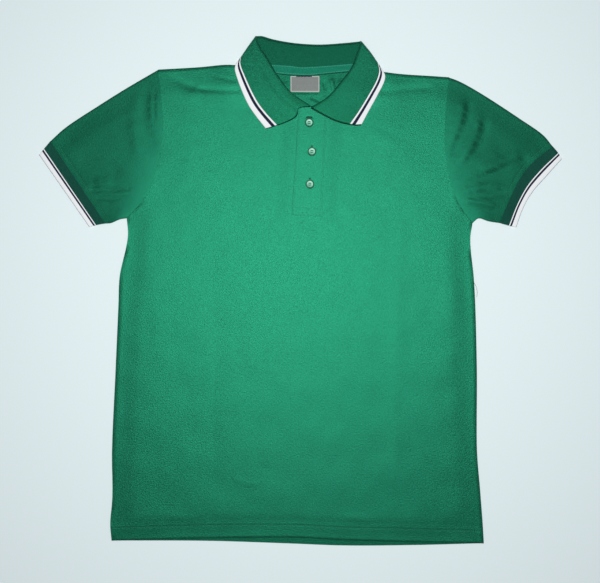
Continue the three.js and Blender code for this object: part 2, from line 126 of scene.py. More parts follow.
def area(bottom, top, first, last):
    """The cloth between four edges: bottom and top run along u, first and last run along v."""
    def at(u, v):
        u, v = np.broadcast_arrays(np.asarray(u, float), np.asarray(v, float))
        across, up = u[..., None], v[..., None]
        edges = (1 - up) * bottom(u) + up * top(u) + (1 - across) * first(v) + across * last(v)
        low = (1 - across) * bottom(0.0) + across * bottom(1.0)
        high = (1 - across) * top(0.0) + across * top(1.0)
        return edges - (1 - up) * low - up * high
    return at


def between(bottom_rows, top_rows):
    """The area between two rows of a table, closed by straight lines at its ends."""
    first = curve([bottom_rows[0], top_rows[0]])
    last = curve([bottom_rows[-1], top_rows[-1]])
    return area(curve(bottom_rows), curve(top_rows), first, last)


first_half = stretch(test_line, 0, 0.5)
print("its first half ends at", np.round(first_half(1.0) / MM, 1), "mm")

# %% [markdown]
# ## The shirt's edges
# The two halves of a shirt that was laid down by hand are never mirror images, so each half has its own
# table of edges. Every edge is measured in millimetres from the middle of the shirt, x to the right and y
# upwards, and two neighbours share their end points, so that the pieces meet without a gap.

# %% The shirt's edges, in millimetres
LEFT = {
    "side": [(-276.2, -365.4), (-278, -340), (-275, -300), (-275.6, -235), (-270.6, -120), (-266.2, -20),
             (-264.4, 20), (-252.2, 80), (-254, 106)],
    "armhole": [(-254, 106), (-227.3, 135.6), (-210.5, 177.7), (-201, 236.2), (-202.6, 270), (-208, 323.4)],
    "shoulder": [(-208, 323.4), (-150.5, 326.7), (-108.6, 330), (-78, 328)],
    "front_neck": [(-78, 328), (-67, 305), (-48, 285), (-25, 270), (-2, 265.4)],
    "stand_neck": [(-77.5, 328.5), (-66.4, 305.6), (-47.5, 285.6), (-24.7, 270.7), (-3, 266.4)],
    "sleeve_top": [(-208, 323.4), (-254.2, 296.5), (-294.3, 271.4), (-344.7, 238), (-365.8, 218.9)],
    "sleeve_bottom": [(-254, 106), (-264.3, 104.2), (-277.5, 98.8), (-285.5, 98.2)],
    "cuff_seam": [(-365.8, 218.9), (-285.5, 98.2)],
    "cuff_top": [(-365.8, 218.9), (-376.5, 206.2), (-382.4, 199.4)],
    "cuff_bottom": [(-285.5, 98.2), (-296.1, 96.4), (-308.6, 93.2)],
    "cuff_edge": [(-382.4, 199.4), (-308.6, 93.2)],
    "roll": [(-65.5, 371.5), (-58, 353.5), (-49.8, 341.5), (-34, 315.5), (-13.6, 289.4), (15.8, 268.4)],
    "crease": [(-65.5, 371.5), (-75, 358.3), (-87, 340.6), (-91.8, 334.2)],
    "leaf_edge": [(-91.8, 334.2), (-95.6, 325), (-92, 309), (-76.8, 272.6), (-65.7, 255.8), (-50.8, 236.8)],
    "leaf_end": [(15.8, 268.4), (4, 267.6), (-2.6, 265.4), (-6.4, 254.5), (-22.9, 245.6), (-50.8, 236.8)],
}
RIGHT = {
    "side": [(268.1, -369.4), (266.4, -340), (262.6, -290), (258.2, -235), (258, -120), (255.6, -20),
             (253.3, 20), (248.2, 76), (251.5, 98.5)],
    "armhole": [(251.5, 98.5), (232.7, 124), (220.9, 152.4), (211.4, 205), (211.7, 253), (217, 312.2)],
    "shoulder": [(217, 312.2), (194.2, 313.8), (137.1, 317.6), (104.4, 322.2)],
    "front_neck": [(104.4, 322.2), (94, 302.5), (78, 285), (58, 271.5), (38.7, 264.6)],
    "stand_neck": [(103.8, 322.8), (93.4, 303.1), (77.5, 285.7), (57.7, 272.3), (38.6, 266.2), (19, 266.4)],
    "sleeve_top": [(217, 312.2), (232.1, 306.5), (262.2, 289.8), (320.8, 251.8), (355.7, 227.2),
                   (368.9, 211.3)],
    "sleeve_bottom": [(251.5, 98.5), (260.6, 105.6), (274.9, 101.5), (291, 98.9)],
    "cuff_seam": [(368.9, 211.3), (338.3, 186.2), (320.8, 164), (306.6, 135.5), (291, 98.9)],
    "cuff_top": [(368.9, 211.3), (376, 203), (382.4, 193.5)],
    "cuff_bottom": [(291, 98.9), (305, 95), (315.2, 92.7)],
    "cuff_edge": [(382.4, 193.5), (358.9, 167), (338.3, 143.4), (325.6, 121.2), (315.2, 92.7)],
    "roll": [(88.5, 364.5), (82.2, 346.2), (73.7, 325), (59.9, 306.2), (39.3, 282.8), (15.6, 267.2)],
    "crease": [(88.5, 364.5), (101.8, 348.1), (110.1, 335.9), (117.4, 324.6)],
    "leaf_edge": [(117.4, 324.6), (123.1, 314.5), (122.4, 306), (111, 282.8), (101.8, 266.2), (89.4, 243)],
    "leaf_end": [(15.6, 267.2), (39.3, 254.3), (55.2, 247.5), (78.4, 242.6), (89.4, 243)],
}
MIDDLE = {
    "front_hem": [(-276.2, -365.4), (-131.4, -362.2), (-10, -361), (62.9, -364.6), (160.6, -367.6),
                  (268.1, -369.4)],
    "back_hem": [(-276.2, -365.4), (-131.4, -366), (-15.3, -369.8), (62.9, -372.7), (170.4, -372),
                 (268.1, -369.4)],
    "back_neck": [(-78, 328), (-30, 322), (15.3, 320.8), (60, 322), (104.4, 322.2)],
    "collar_top": [(-65.5, 371.5), (-57, 372.4), (-39.6, 367.6), (-10, 362.3), (27.2, 359.9), (62, 362),
                   (88.5, 364.5)],
    "fall_edge": [(-91.8, 334.2), (-86, 319), (-50, 311), (10, 308.5), (90, 310.5), (112, 316),
                  (117.4, 324.6)],
    "tape_top": [(-46, 330.2), (-13.6, 328.1), (-0.7, 326.4), (27, 327.5), (79, 331.4)],
    "tape_bottom": [(-40, 317.4), (-19.1, 314.9), (13.9, 313.8), (27.2, 315.2), (73, 319.8)],
    "label_top": [(-14.7, 313.4), (27.7, 313.5)],
    "label_bottom": [(-14.5, 290.4), (27.7, 290)],
    "placket_left": [(-12.9, 110.6), (-10.1, 154.6), (-7.4, 190), (-4.4, 240), (-2, 265.4)],
    "placket_right": [(31.4, 108.3), (32.6, 150), (36, 215), (38.7, 264.6)],
    "centre_left": [(-10, -361), (-12.9, 110.6)],
    "centre_right": [(31, -363), (31.4, 108.3)],
}
BUTTONS = {"button_top": (12.7, 244.8), "button_middle": (16.6, 202.8), "button_bottom": (13.7, 155.2)}
left = {name: curve(rows) for name, rows in LEFT.items()}
right = {name: curve(rows) for name, rows in RIGHT.items()}
middle = {name: curve(rows) for name, rows in MIDDLE.items()}
print("side seams", round(left["side"].length, 3), round(right["side"].length, 3), "m")

# %% [markdown]
# ## How high the cloth lies
# Nothing in a laid-out shirt is quite flat. The back rests on the table, the front floats a little above it
# on the air between them, and that air is pinned down to nothing along the folded edges. The large folds
# are the imported model's own, so this table repeats them, each as a line, a height and a half width. A fold
# that is listed here can be put exactly where the cloth really folds.

# %% Walls, air and folds
CLOTH = 1.2 * MM
RIB = 1.6 * MM
TRIM = 1.0 * MM
GAP = 0.3 * MM
AIR = 1.3 * MM
AIR_REACH = 38 * MM
HEM_DEPTH = 24 * MM
HEM_RISE = 0.25 * MM
EDGE_ROLL = 0.9 * MM
ROLL_REACH = 2.2 * MM
COLLAR_LIFT = RIB + GAP
LIFTED = {"from": (-140, -97), "to": (122, 165), "up": (262, 305)}  # in millimetres
SOFT_FLOOR = 0.6 * MM

FOLDS = [  # line in millimetres, height, half width
    ([(-190, 316), (-158, 300), (-96, 292)], -0.4, 12),
    ([(-176, 290), (-140, 284)], 0.8, 13),
    ([(-227, 287), (-227, 236), (-214, 196)], -0.5, 11),
    ([(-214, 290), (-215, 244)], 0.5, 10),
    ([(-246, 255), (-234, 190)], 0.8, 12),
    ([(-304, 157), (-272, 158)], 1.1, 7),
    ([(-281, 125), (-255, 124)], 0.7, 9),
    ([(151, 300), (188, 302)], 0.7, 12),
    ([(114, 287), (188, 290)], -0.4, 11),
    ([(232, 268), (222, 226)], 0.6, 11),
    ([(256, 240), (236, 196)], 0.7, 9),
    ([(296, 204), (246, 184)], 0.9, 11),
    ([(335, 192), (300, 180), (258, 163)], 1.5, 15),
    ([(250, 148), (270, 152), (294, 151)], 0.9, 5),
    ([(239, 131), (263, 127), (287, 122)], 0.8, 4.5),
    ([(-182, 197), (-141, 205)], 0.4, 16),
    ([(-164, 160), (-65, 163)], 0.3, 17),
    ([(104, 238), (151, 216)], 0.5, 16),
    ([(-20, 98), (-40, 78)], 0.5, 14),
    ([(-126, 74), (-122, -110), (-127, -290)], -0.2, 12),
    ([(145, 97), (140, -100), (136, -290)], 0.25, 12),
    ([(-220, 40), (-200, -120)], 0.4, 20),
    ([(222, 30), (205, -150)], 0.4, 20),
]


print(len(FOLDS), "large folds")

# %% Distances, and the height of folds
def smooth(value, low, high):
    """0 below low, 1 above high and a soft step between them."""
    share = np.clip((value - low) / (high - low), 0, 1)
    return share * share * (3 - 2 * share)


def nearest(line, points):
    """The distance from each point to a line of points, and how far along the line that is."""
    flat = points.reshape(-1, 2)
    best, along = np.full(len(flat), np.inf), np.zeros(len(flat))
    passed = 0.0
    for start, end in zip(line, line[1:]):
        step = end - start
        length = np.linalg.norm(step)
        share = np.clip((flat - start) @ step / max(length * length, 1e-18), 0, 1)
        away = np.linalg.norm(flat - start - share[:, None] * step, axis=1)
        along = np.where(away < best, passed + share * length, along)
        best = np.minimum(best, away)
        passed += length
    return best.reshape(points.shape[:-1]), along.reshape(points.shape[:-1]), passed


def distance_to(line, points):
    """The distance from each point to a line of points."""
    return nearest(line, points)[0]


def fold_sum(table, points, fade=1.5):
    """The height that a table of folds gives each point. Each fades out at its ends, over a few widths."""
    total = np.zeros(points.shape[:-1])
    for rows, height, width in table:
        line = drawn(rows)
        away, along, length = nearest(line, points)
        to_end = np.minimum(along, length - along)
        ends = 0.25 + 0.75 * smooth(to_end, 0, min(fade * width * MM, length / 2))
        total += height * MM * np.exp(-((away / (width * MM)) ** 2)) * ends
    return total


test_fold = [([(0, 0), (100, 0)], 1.0, 10)]
print("a fold 1 mm high is", np.round(fold_sum(test_fold, drawn([(50, 10)])) / MM, 2), "mm at its half width")

# %% The outline, and what lies under the back
ring = [
    left["side"], left["sleeve_bottom"], left["cuff_bottom"], reverse(left["cuff_edge"]),
    reverse(left["cuff_top"]), reverse(left["sleeve_top"]), left["shoulder"], reverse(right["shoulder"]),
    right["sleeve_top"], right["cuff_top"], right["cuff_edge"], reverse(right["cuff_bottom"]),
    reverse(right["sleeve_bottom"]), reverse(right["side"]), reverse(middle["front_hem"]),
]
outline = np.vstack([line(np.linspace(0, 1, 11)) for line in ring])


def lift(points):
    """How far the back is held up by the collar's fall, which lies under it."""
    x, y = points[..., 0] / MM, points[..., 1] / MM - ZERO[1]
    across = smooth(x, *LIFTED["from"]) * (1 - smooth(x, *LIFTED["to"]))
    return COLLAR_LIFT * across * smooth(y, *LIFTED["up"])


at_back_neck = drawn([(15, 315)])
print("the collar lifts the back by", np.round(lift(at_back_neck) / MM, 2), "mm")


# %% [markdown]
# ## Small creases
# The sleeves fan out from under the arms, the shoulders drag towards the collar, and two long packing
# creases run down the body. A crease that was only a line would look ruled, so its height wanders a little
# along the cloth, and a very low unevenness runs over the whole shirt, as it does on any knit that was not
# ironed.

# %% Creases too small for the solids
CREASES = [  # line in millimetres, height, half width
    ([(-189, 316), (-178, 307), (-163, 299), (-150, 295)], -0.9, 5),
    ([(-150, 295), (-120, 293), (-87, 292)], -0.8, 3.2),
    ([(-128, 317), (-118, 311), (-94, 306)], -0.7, 2.5),
    ([(-213, 294), (-214, 275), (-213, 248)], -0.55, 3),
    ([(-223, 301), (-228, 275), (-229, 253), (-224, 227), (-217, 205)], -0.85, 8),
    ([(-246, 250), (-240, 206)], 0.3, 6),
    ([(-327, 195), (-295, 184), (-258, 169)], -0.9, 9),
    ([(-309, 147), (-280, 147), (-246, 150)], -1.4, 3.8),
    ([(-300, 136), (-276, 134), (-252, 136)], -1.0, 3.8),
    ([(-254, 121), (-250, 112)], -0.8, 2.4),
    ([(-249, 111), (-238, 123), (-229, 133)], -0.4, 2.2),
    ([(114, 290), (150, 294), (190, 297)], -0.8, 4.5),
    ([(118, 298), (142, 297)], -0.4, 3),
    ([(248, 277), (244.5, 253), (239.5, 234), (229.5, 213), (223, 194)], -1.0, 6.5),
    ([(239, 277), (235, 254), (230, 238), (221, 218)], 0.6, 5.5),
    ([(271, 251), (266.5, 225.5), (257.5, 202), (243, 182), (227, 162.5)], -0.9, 7),
    ([(261, 253), (257, 229), (248, 207), (234, 189)], 0.8, 6),
    ([(336, 193), (308, 183.5), (293, 174.5), (275, 167.5), (253, 157.5), (238, 154)], -1.7, 7.5),
    ([(324, 200), (302, 192), (282, 183), (258, 173)], 1.1, 8),
    ([(248, 152), (270, 155), (284, 154.5)], 0.5, 5),
    ([(244, 140), (275, 139), (303, 144)], -1.5, 5),
    ([(240, 133), (263, 129), (287, 124)], 0.7, 4.2),
    ([(246, 121), (264, 117), (284, 112)], -0.9, 4),
    ([(242, 112), (234, 124), (226, 140)], -0.4, 2.5),
    ([(-182, 192), (-141, 201)], -0.2, 7),
    ([(104, 243), (151, 220)], -0.25, 7),
    ([(-14, 110), (-26, 96), (-38, 84)], -0.3, 4),
    ([(-128, 70), (-125, 10), (-121, -60), (-122, -130), (-128, -210), (-126, -296)], -0.09, 3.5),
    ([(-123, 60), (-120, -60), (-123, -210)], 0.06, 4),
    ([(145, 97), (143, 20), (139, -80), (138, -180), (136, -294)], 0.08, 3),
    ([(141, 90), (137, -80), (133, -290)], -0.05, 4),
    ([(-56, -256), (-42, -265)], -0.2, 4),
    ([(-100, -273), (-80, -281), (-59, -282)], 0.2, 4),
    ([(60, -330), (110, -336)], 0.2, 6),
    ([(-200, -330), (-150, -334)], 0.2, 6),
]
WAVES = [  # metres from crest to crest, direction in degrees, height in millimetres, start
    (0.093, 24, 0.09, 0.3), (0.071, 101, 0.08, 1.9), (0.052, 63, 0.05, 4.1), (0.039, 148, 0.035, 2.2),
    (0.128, 172, 0.1, 5.0), (0.031, 12, 0.02, 0.9),
]


print(len(CREASES), "small creases and", len(WAVES), "waves")

# %% The upper layer's heights
def wander(points):
    """A soft unevenness of the whole cloth, in metres, from a few crossed waves."""
    total = np.zeros(points.shape[:-1])
    for length, degrees, height, start in WAVES:
        turn = math.radians(degrees)
        along = points[..., 0] * math.cos(turn) + points[..., 1] * math.sin(turn)
        total += height * MM * np.sin(2 * math.pi * along / length + start)
    return total


def crease_height(points):
    """The small creases, fading in and out a little along their length."""
    x, y = points[..., 0], points[..., 1]
    uneven = 1 + 0.2 * np.sin(x / 0.011 + y / 0.017) * np.sin(y / 0.023 - x / 0.029)
    return fold_sum(CREASES, points) * uneven + wander(points)


def back_high(points):
    """The upper surface of the back, on which the air and the front lie."""
    return lift(points) + CLOTH


def front_low(points):
    """The underside of the upper layer: on the back, over the air, folded and creased."""
    away = distance_to(outline, points)
    air = smooth(away, 3 * MM, AIR_REACH) * np.maximum(0, AIR + fold_sum(FOLDS, points))
    small = smooth(away, 2 * MM, 14 * MM) * crease_height(points)
    height = air + small
    settled = (height + np.sqrt(height**2 + SOFT_FLOOR**2)) / 2 - SOFT_FLOOR / 3
    return back_high(points) + GAP + settled


def front_high(points):
    """The upper surface, which rolls down over the last two millimetres to the edge."""
    near_edge = np.clip(1 - distance_to(outline, points) / ROLL_REACH, 0, 1)
    return front_low(points) + CLOTH - EDGE_ROLL * near_edge**2


probe = np.array([[0.0, 0.0], [-0.215, 0.27], [0.14, -0.1]])
print("upper surface in mm at three places", np.round(front_high(probe) / MM, 2))

# %% [markdown]
# ## From a flat grid to a piece of cloth
# Every flat piece is made the same way a cutter would think of it: a rectangular grid is the cloth, it is
# cut where the piece has a slot, and it is extruded once so that it has a thickness. Only then are its
# points carried to their places. The grid keeps its own u and v in its points until that moment, so the
# same few lines make the front, the back, the plackets, the tape and the label.

# %% Flat pieces
def to_object(bm, name):
    """A finished bmesh as an object with smooth shading."""
    mesh = bpy.data.meshes.new(name)
    bm.to_mesh(mesh)
    bm.free()
    piece = bpy.data.objects.new(name, mesh)
    bpy.context.scene.collection.objects.link(piece)
    mesh.polygons.foreach_set("use_smooth", [True] * len(mesh.polygons))
    return piece


def read_points(mesh):
    """The mesh's points as an array."""
    points = np.zeros(len(mesh.vertices) * 3)
    mesh.vertices.foreach_get("co", points)
    return points.reshape(-1, 3)


def place_points(mesh, points, uv):
    """Moves the mesh's points to their places, turns it face out and gives it its cloth coordinates."""
    mesh.vertices.foreach_set("co", np.asarray(points, float).ravel())
    loops = np.zeros(len(mesh.loops), int)
    mesh.loops.foreach_get("vertex_index", loops)
    layer = mesh.uv_layers.new(name="cloth")
    layer.data.foreach_set("uv", np.asarray(uv, float)[loops].ravel())
    mesh.calc_loop_triangles()
    corners = np.zeros(len(mesh.loop_triangles) * 3, int)
    mesh.loop_triangles.foreach_get("vertices", corners)
    a, b, c = np.moveaxis(np.asarray(points)[corners.reshape(-1, 3)], 1, 0)
    if np.sum(a * np.cross(b, c)) < 0:
        mesh.flip_normals()
    mesh.update()


SOFT_EDGE = 0.35 * MM


def soften(piece, width=SOFT_EDGE):
    """Rounds the cut edges of a piece of cloth a little."""
    bevel = piece.modifiers.new("soft edge", "BEVEL")
    bevel.width = width
    bevel.segments = 2
    bevel.limit_method = "ANGLE"
    bevel.angle_limit = math.radians(40)
    bevel.harden_normals = True
    return piece


print("cut edges are rounded by", SOFT_EDGE / MM, "mm")

# %% Cut and lay a flat piece
def spaced(first, *spans):
    """Grid lines from the first one on. Each span says where it ends and how many cells it has."""
    lines = [np.array([float(first)])]
    for end, cells in spans:
        lines.append(np.linspace(lines[-1][-1], end, cells + 1)[1:])
    return np.concatenate(lines)


def flat_piece(name, place, us, vs, low, high, keep=None):
    """Cloth over an area, from low to high, on the given columns and rows. keep says which cells stay."""
    bm = bmesh.new()
    columns, rows = len(us) - 1, len(vs) - 1
    bmesh.ops.create_grid(bm, x_segments=columns, y_segments=rows, size=0.5)
    bmesh.ops.translate(bm, vec=(0.5, 0.5, 0), verts=bm.verts)
    if keep:
        gone = []
        for face in bm.faces:
            centre = face.calc_center_median()
            u = np.interp(centre.x * columns, range(columns + 1), us)
            v = np.interp(centre.y * rows, range(rows + 1), vs)
            if not keep(u, v):
                gone.append(face)
        bmesh.ops.delete(bm, geom=gone, context="FACES")
    grown = bmesh.ops.extrude_face_region(bm, geom=bm.faces[:], use_keep_orig=True)["geom"]
    upper = [item for item in grown if isinstance(item, bmesh.types.BMVert)]
    bmesh.ops.translate(bm, vec=(0, 0, 1), verts=upper)
    bmesh.ops.recalc_face_normals(bm, faces=bm.faces)
    piece = to_object(bm, name)
    grid = read_points(piece.data)
    u = np.interp(grid[:, 0] * columns, range(columns + 1), us)
    v = np.interp(grid[:, 1] * rows, range(rows + 1), vs)
    plan = place(u, v)
    height = np.where(grid[:, 2] > 0.5, high(plan, u, v), low(plan, u, v))
    place_points(piece.data, np.column_stack([plan, height]), plan)
    return piece


print("five grid lines, closer at the start:", spaced(0, (0.2, 2), (1, 2)))

# %% [markdown]
# ## Front and back
# The front is three areas side by side: left of the placket, under it, and right of it. The slot that the
# placket fills is simply left out of the grid. The hem is a double layer, so it stands a little higher, and
# the two rows of its twin-needle seam pull a shallow groove into it.

# %% Cut lines of the body
SIDE_SHARE = 0.66
SLOT = (0.488, 0.564)
LEFT_SHOULDER, RIGHT_NECK, BACK_NECK = 0.6, 0.45, (0.36, 0.7)  # shares of the upper edge, where lines change
HEM_TOP = 1.25 * SIDE_SHARE * HEM_DEPTH / left["side"].length
HEM_ROWS = (18.4 * MM, 23.6 * MM)
HEM_TURN = 2.5
left_side = chain((left["side"], SIDE_SHARE), (left["armhole"], 1))
right_side = chain((right["side"], SIDE_SHARE), (right["armhole"], 1))
centre_left = chain((middle["centre_left"], SIDE_SHARE), (middle["placket_left"], 1))
centre_right = chain((middle["centre_right"], SIDE_SHARE), (middle["placket_right"], 1))
placket_top = curve([MIDDLE["placket_left"][-1], MIDDLE["placket_right"][-1]])
slot_area = area(stretch(middle["front_hem"], *SLOT), placket_top, centre_left, centre_right)
left_top = chain((left["shoulder"], LEFT_SHOULDER), (left["front_neck"], 1))
right_top = chain((reverse(right["front_neck"]), RIGHT_NECK), (reverse(right["shoulder"]), 1))
left_area = area(stretch(middle["front_hem"], 0, SLOT[0]), left_top, left_side, centre_left)
right_area = area(stretch(middle["front_hem"], SLOT[1], 1), right_top, centre_right, right_side)
back_top = chain(
    (left["shoulder"], BACK_NECK[0]), (middle["back_neck"], BACK_NECK[1]), (reverse(right["shoulder"]), 1)
)
back_area = area(middle["back_hem"], back_top, left_side, right_side)
print("the hem takes", round(HEM_TOP / SIDE_SHARE, 3), "of the side seam's rows")

# %% Folds, hem and slot
NECK_FOLDS = [  # the inside of the back, under the collar: line in millimetres, height, half width
    ([(44, 311), (50, 290)], 1.0, 3.2),
    ([(58, 309), (56, 292)], 0.9, 3),
    ([(-24, 306), (-20, 294)], 0.7, 3),
    ([(14, 284), (30, 277), (43, 286)], -1.0, 3),
    ([(34, 308), (37, 292)], -0.8, 2.6),
    ([(-13, 289.7), (26, 289.3)], -0.8, 1.3),
    ([(28.9, 310), (28.9, 291)], -0.5, 1.2),
]


def front_area(u, v):
    """The front's plan: u runs from 0 to 1 left of the placket, to 2 across it and to 3 right of it."""
    parts = [left_area(np.clip(u, 0, 1), v), slot_area(np.clip(u - 1, 0, 1), v)]
    parts.append(right_area(np.clip(u - 2, 0, 1), v))
    return np.where((u <= 1)[:, None], parts[0], np.where((u < 2)[:, None], parts[1], parts[2]))


def hem_groove(depth_in_cloth):
    """How far the twin needles pull the cloth down, at a distance from the hem's edge."""
    rows = [np.exp(-(((depth_in_cloth - row) / (0.9 * MM)) ** 2)) for row in HEM_ROWS]
    return 0.14 * MM * sum(rows)


def cloth_depth(v):
    """How far up from the hem a row of the body lies."""
    return v / SIDE_SHARE * left["side"].length


def cloth_row(depth):
    """The row of the body at a distance up from the hem."""
    return depth / left["side"].length * SIDE_SHARE


placket_ring = drawn(MIDDLE["placket_left"][::-1] + MIDDLE["placket_right"])
PLACKET_RISE = 1.25 * MM


def slot_rise(points):
    """The front stands up beside the placket, on the turned-in edges that are sewn to it."""
    return PLACKET_RISE * (1 - smooth(distance_to(placket_ring, points), 1.5 * MM, 26 * MM))


def front_surface(points, u, v):
    """The front's upper surface with its doubled hem."""
    depth = cloth_depth(v)
    hem = HEM_RISE * (1 - smooth(depth, HEM_DEPTH - 1.5 * MM, HEM_DEPTH + 2.5 * MM))
    return front_high(points) + hem + slot_rise(points) - hem_groove(depth)


print("the hem is", round(HEM_DEPTH / MM, 1), "mm deep,", len(placket_ring), "points run round the placket")

# %% Sew the body
front_columns = spaced(0, (LEFT_SHOULDER, 43), (1, 26), (2, 11), (2 + RIGHT_NECK, 26), (3, 41))
front_rows = spaced(0, (HEM_TOP, 21), (SIDE_SHARE, 139), (1, 80))
front = flat_piece(
    "front_body", front_area, front_columns, front_rows,
    lambda p, u, v: front_low(p), front_surface,
    keep=lambda u, v: not (1 < u < 2 and v > SIDE_SHARE),
)
soften(front, 0.12 * MM)

back_columns = spaced(0, (0.4, 35), (0.66, 79), (1, 33))  # finer behind the neck, where its inside shows
back_rows = spaced(0, (HEM_TOP, 21), (SIDE_SHARE, 79), (0.87, 30), (1, 60))
back = flat_piece(
    "back_body", back_area, back_columns, back_rows,
    lambda p, u, v: lift(p) + HEM_TURN * hem_groove(cloth_depth(v)),
    lambda p, u, v: back_high(p) + fold_sum(NECK_FOLDS, p),
)
soften(back)
print("front", len(front.data.polygons), "faces, back", len(back.data.polygons))

# %% [markdown]
# ## Sleeves and cuffs
# A sleeve is one piece of cloth sewn into a tube and pressed flat, so it is made as a tube: a circle of
# points, extruded step by step along the arm, with the inner wall a second, smaller tube joined at the two
# open ends. The circle is then pressed flat between its two folded edges, which keep a small round bend.

# %% Pressed tubes
BEND = 1.2 * MM
SEAM_GAP = 0.02 * MM
BEND_STEPS = [(0, 0.5), (0.18, 0.2), (0.5, 0.05), (1, 0)]  # share of the bend inwards, share of the height


def pressed_ring(across):
    """The places round a pressed tube: share of the width, bend inwards, share of the height."""
    flat = [(share, 0, None) for share in np.linspace(0, 1, across + 2)[1:-1]]
    first = [(0, bend, level) for bend, level in BEND_STEPS]
    last = [(1, bend, level) for bend, level in reversed(BEND_STEPS)]
    lower = first + [(share, 0, 0) for share, _, _ in flat] + last
    upper = [(1, bend, 1 - level) for bend, level in BEND_STEPS[1:]]
    upper += [(share, 0, 1) for share, _, _ in reversed(flat)]
    upper += [(0, bend, 1 - level) for bend, level in reversed(BEND_STEPS[1:])]
    return lower + upper


print("a tube four cells wide has", len(pressed_ring(4)), "points round it")

# %% A tube of cloth, pressed flat
def tube_piece(name, place, along, across, wall, low, high, grain):
    """A pressed tube between its two ends, u along the arm and v from its lower to its upper fold."""
    ring_places = pressed_ring(across)
    count = len(ring_places)
    bm = bmesh.new()
    bmesh.ops.create_circle(bm, cap_ends=False, segments=count, radius=1)
    edges = bm.edges[:]
    for _ in range(along):
        grown = bmesh.ops.extrude_edge_only(bm, edges=edges)["geom"]
        outer = [item for item in grown if isinstance(item, bmesh.types.BMVert)]
        bmesh.ops.translate(bm, vec=(0, 0, 1), verts=outer)
        edges = [item for item in grown if isinstance(item, bmesh.types.BMEdge)]
    grown = bmesh.ops.extrude_face_region(bm, geom=bm.faces[:], use_keep_orig=True)["geom"]
    inner = [item for item in grown if isinstance(item, bmesh.types.BMVert)]
    bmesh.ops.scale(bm, vec=(0.5, 0.5, 1), verts=inner)
    bmesh.ops.recalc_face_normals(bm, faces=bm.faces)
    piece = to_object(bm, name)
    grid = read_points(piece.data)
    u = grid[:, 2] / along
    turn = np.arctan2(grid[:, 1], grid[:, 0]) / (2 * math.pi) * count
    index = np.round(turn).astype(int) % count
    inside = np.hypot(grid[:, 0], grid[:, 1]) < 0.75
    side, bend, level = (np.array([entry[k] for entry in ring_places], float)[index] for k in range(3))
    width = np.linalg.norm(place(u, np.ones_like(u)) - place(u, np.zeros_like(u)), axis=1)
    inwards = (bend * BEND + inside * wall) / width
    reach = (BEND + inside * wall) / width
    limit = np.clip(side, reach, 1 - reach)
    v = np.where(bend + (side == 0) + (side == 1) > 0, np.where(side < 0.5, inwards, 1 - inwards), limit)
    plan = place(u, v)
    bottom = low(plan) + inside * wall
    top = high(plan) - inside * wall
    top = np.maximum(top, bottom + 0.05 * MM)
    height = bottom + (top - bottom) * level
    around = np.where(level > 0.5, v, -v) * grain[1]
    place_points(piece.data, np.column_stack([plan, height]), np.column_stack([around, u * grain[0]]))
    piece.data.set_sharp_from_angle(angle=math.radians(60))
    return piece


print("a pressed tube keeps a bend of", BEND / MM, "mm at its folds")

# %% Sleeve and cuff areas
def arm_length(v):
    """How long a sleeve is from the armhole to the cuff seam, from its lower fold to its upper one."""
    return 33 * MM + 156 * MM * v


def sleeve_area(half):
    """A sleeve's plan, from the armhole out to the cuff seam, free of its neighbours by the seam's gap."""
    whole = area(half["sleeve_bottom"], half["sleeve_top"], half["armhole"], reverse(half["cuff_seam"]))

    def at(u, v):
        start = SEAM_GAP / arm_length(v)
        return whole(start + (1 - 2 * start) * u, v)
    return at


def cuff_area(half):
    """A cuff's plan, from the sleeve out to its finished edge."""
    seam, edge = reverse(half["cuff_seam"]), reverse(half["cuff_edge"])
    whole = area(half["cuff_bottom"], half["cuff_top"], seam, edge)
    return lambda u, v: whole(0.003 + 0.997 * u, v)


CUFF_ROW = 6.5 * MM
CUFF_DEPTH = 25.4 * MM
CUFF_CELLS, PLAIN_CELLS = 16, 9  # cells along the arm, and those of them without stripes
CUFF_PLAIN = PLAIN_CELLS / CUFF_CELLS * CUFF_DEPTH
SLEEVE_ROUND, SLEEVE_LENGTH, CUFF_ROUND = 190 * MM, 170 * MM, 135 * MM


def cuff_furrow(points):
    """The furrow of the row of stitches beside the cuffs."""
    away = [distance_to(half["cuff_seam"](np.linspace(0, 1, 12)), points) for half in (left, right)]
    return 0.3 * MM * np.exp(-(((np.minimum(*away) - CUFF_ROW) / (0.8 * MM)) ** 2))


def sleeve_high(points):
    return front_high(points) - cuff_furrow(points)


def on_table(points):
    return np.zeros(points.shape[:-1])


def cuff_high(points):
    return front_high(points) + 2 * (RIB - CLOTH)


print("a sleeve is", arm_length(0) / MM, "mm long below and", arm_length(1) / MM, "mm long above")

# %% Sew the sleeves and cuffs
sleeves, cuffs = [], []
for name, half in (("left", left), ("right", right)):
    sleeve = tube_piece(
        f"sleeve_cloth_{name}", sleeve_area(half), 96, 96, CLOTH, cuff_furrow, sleeve_high,
        (SLEEVE_LENGTH, SLEEVE_ROUND),
    )
    cuff = tube_piece(
        f"cuff_rib_{name}", cuff_area(half), CUFF_CELLS, 60, RIB, on_table, cuff_high,
        (CUFF_DEPTH, CUFF_ROUND),
    )
    sleeves.append(sleeve)
    cuffs.append(cuff)
    print(sleeve.name, len(sleeve.data.polygons), cuff.name, len(cuff.data.polygons))

# %% [markdown]
# ## The collar
# The collar is one flat-knit strip that is folded twice. It stands up from the neck seam and rolls over
# along its top, and it turns from the front of the shirt to the back at the two sides of the neck. So it is
# made as one sheet: columns run round the neck, rows run from the seam over the roll to the outer edge. The
# middle of the knit is placed first, and a Solidify modifier gives it its thickness.

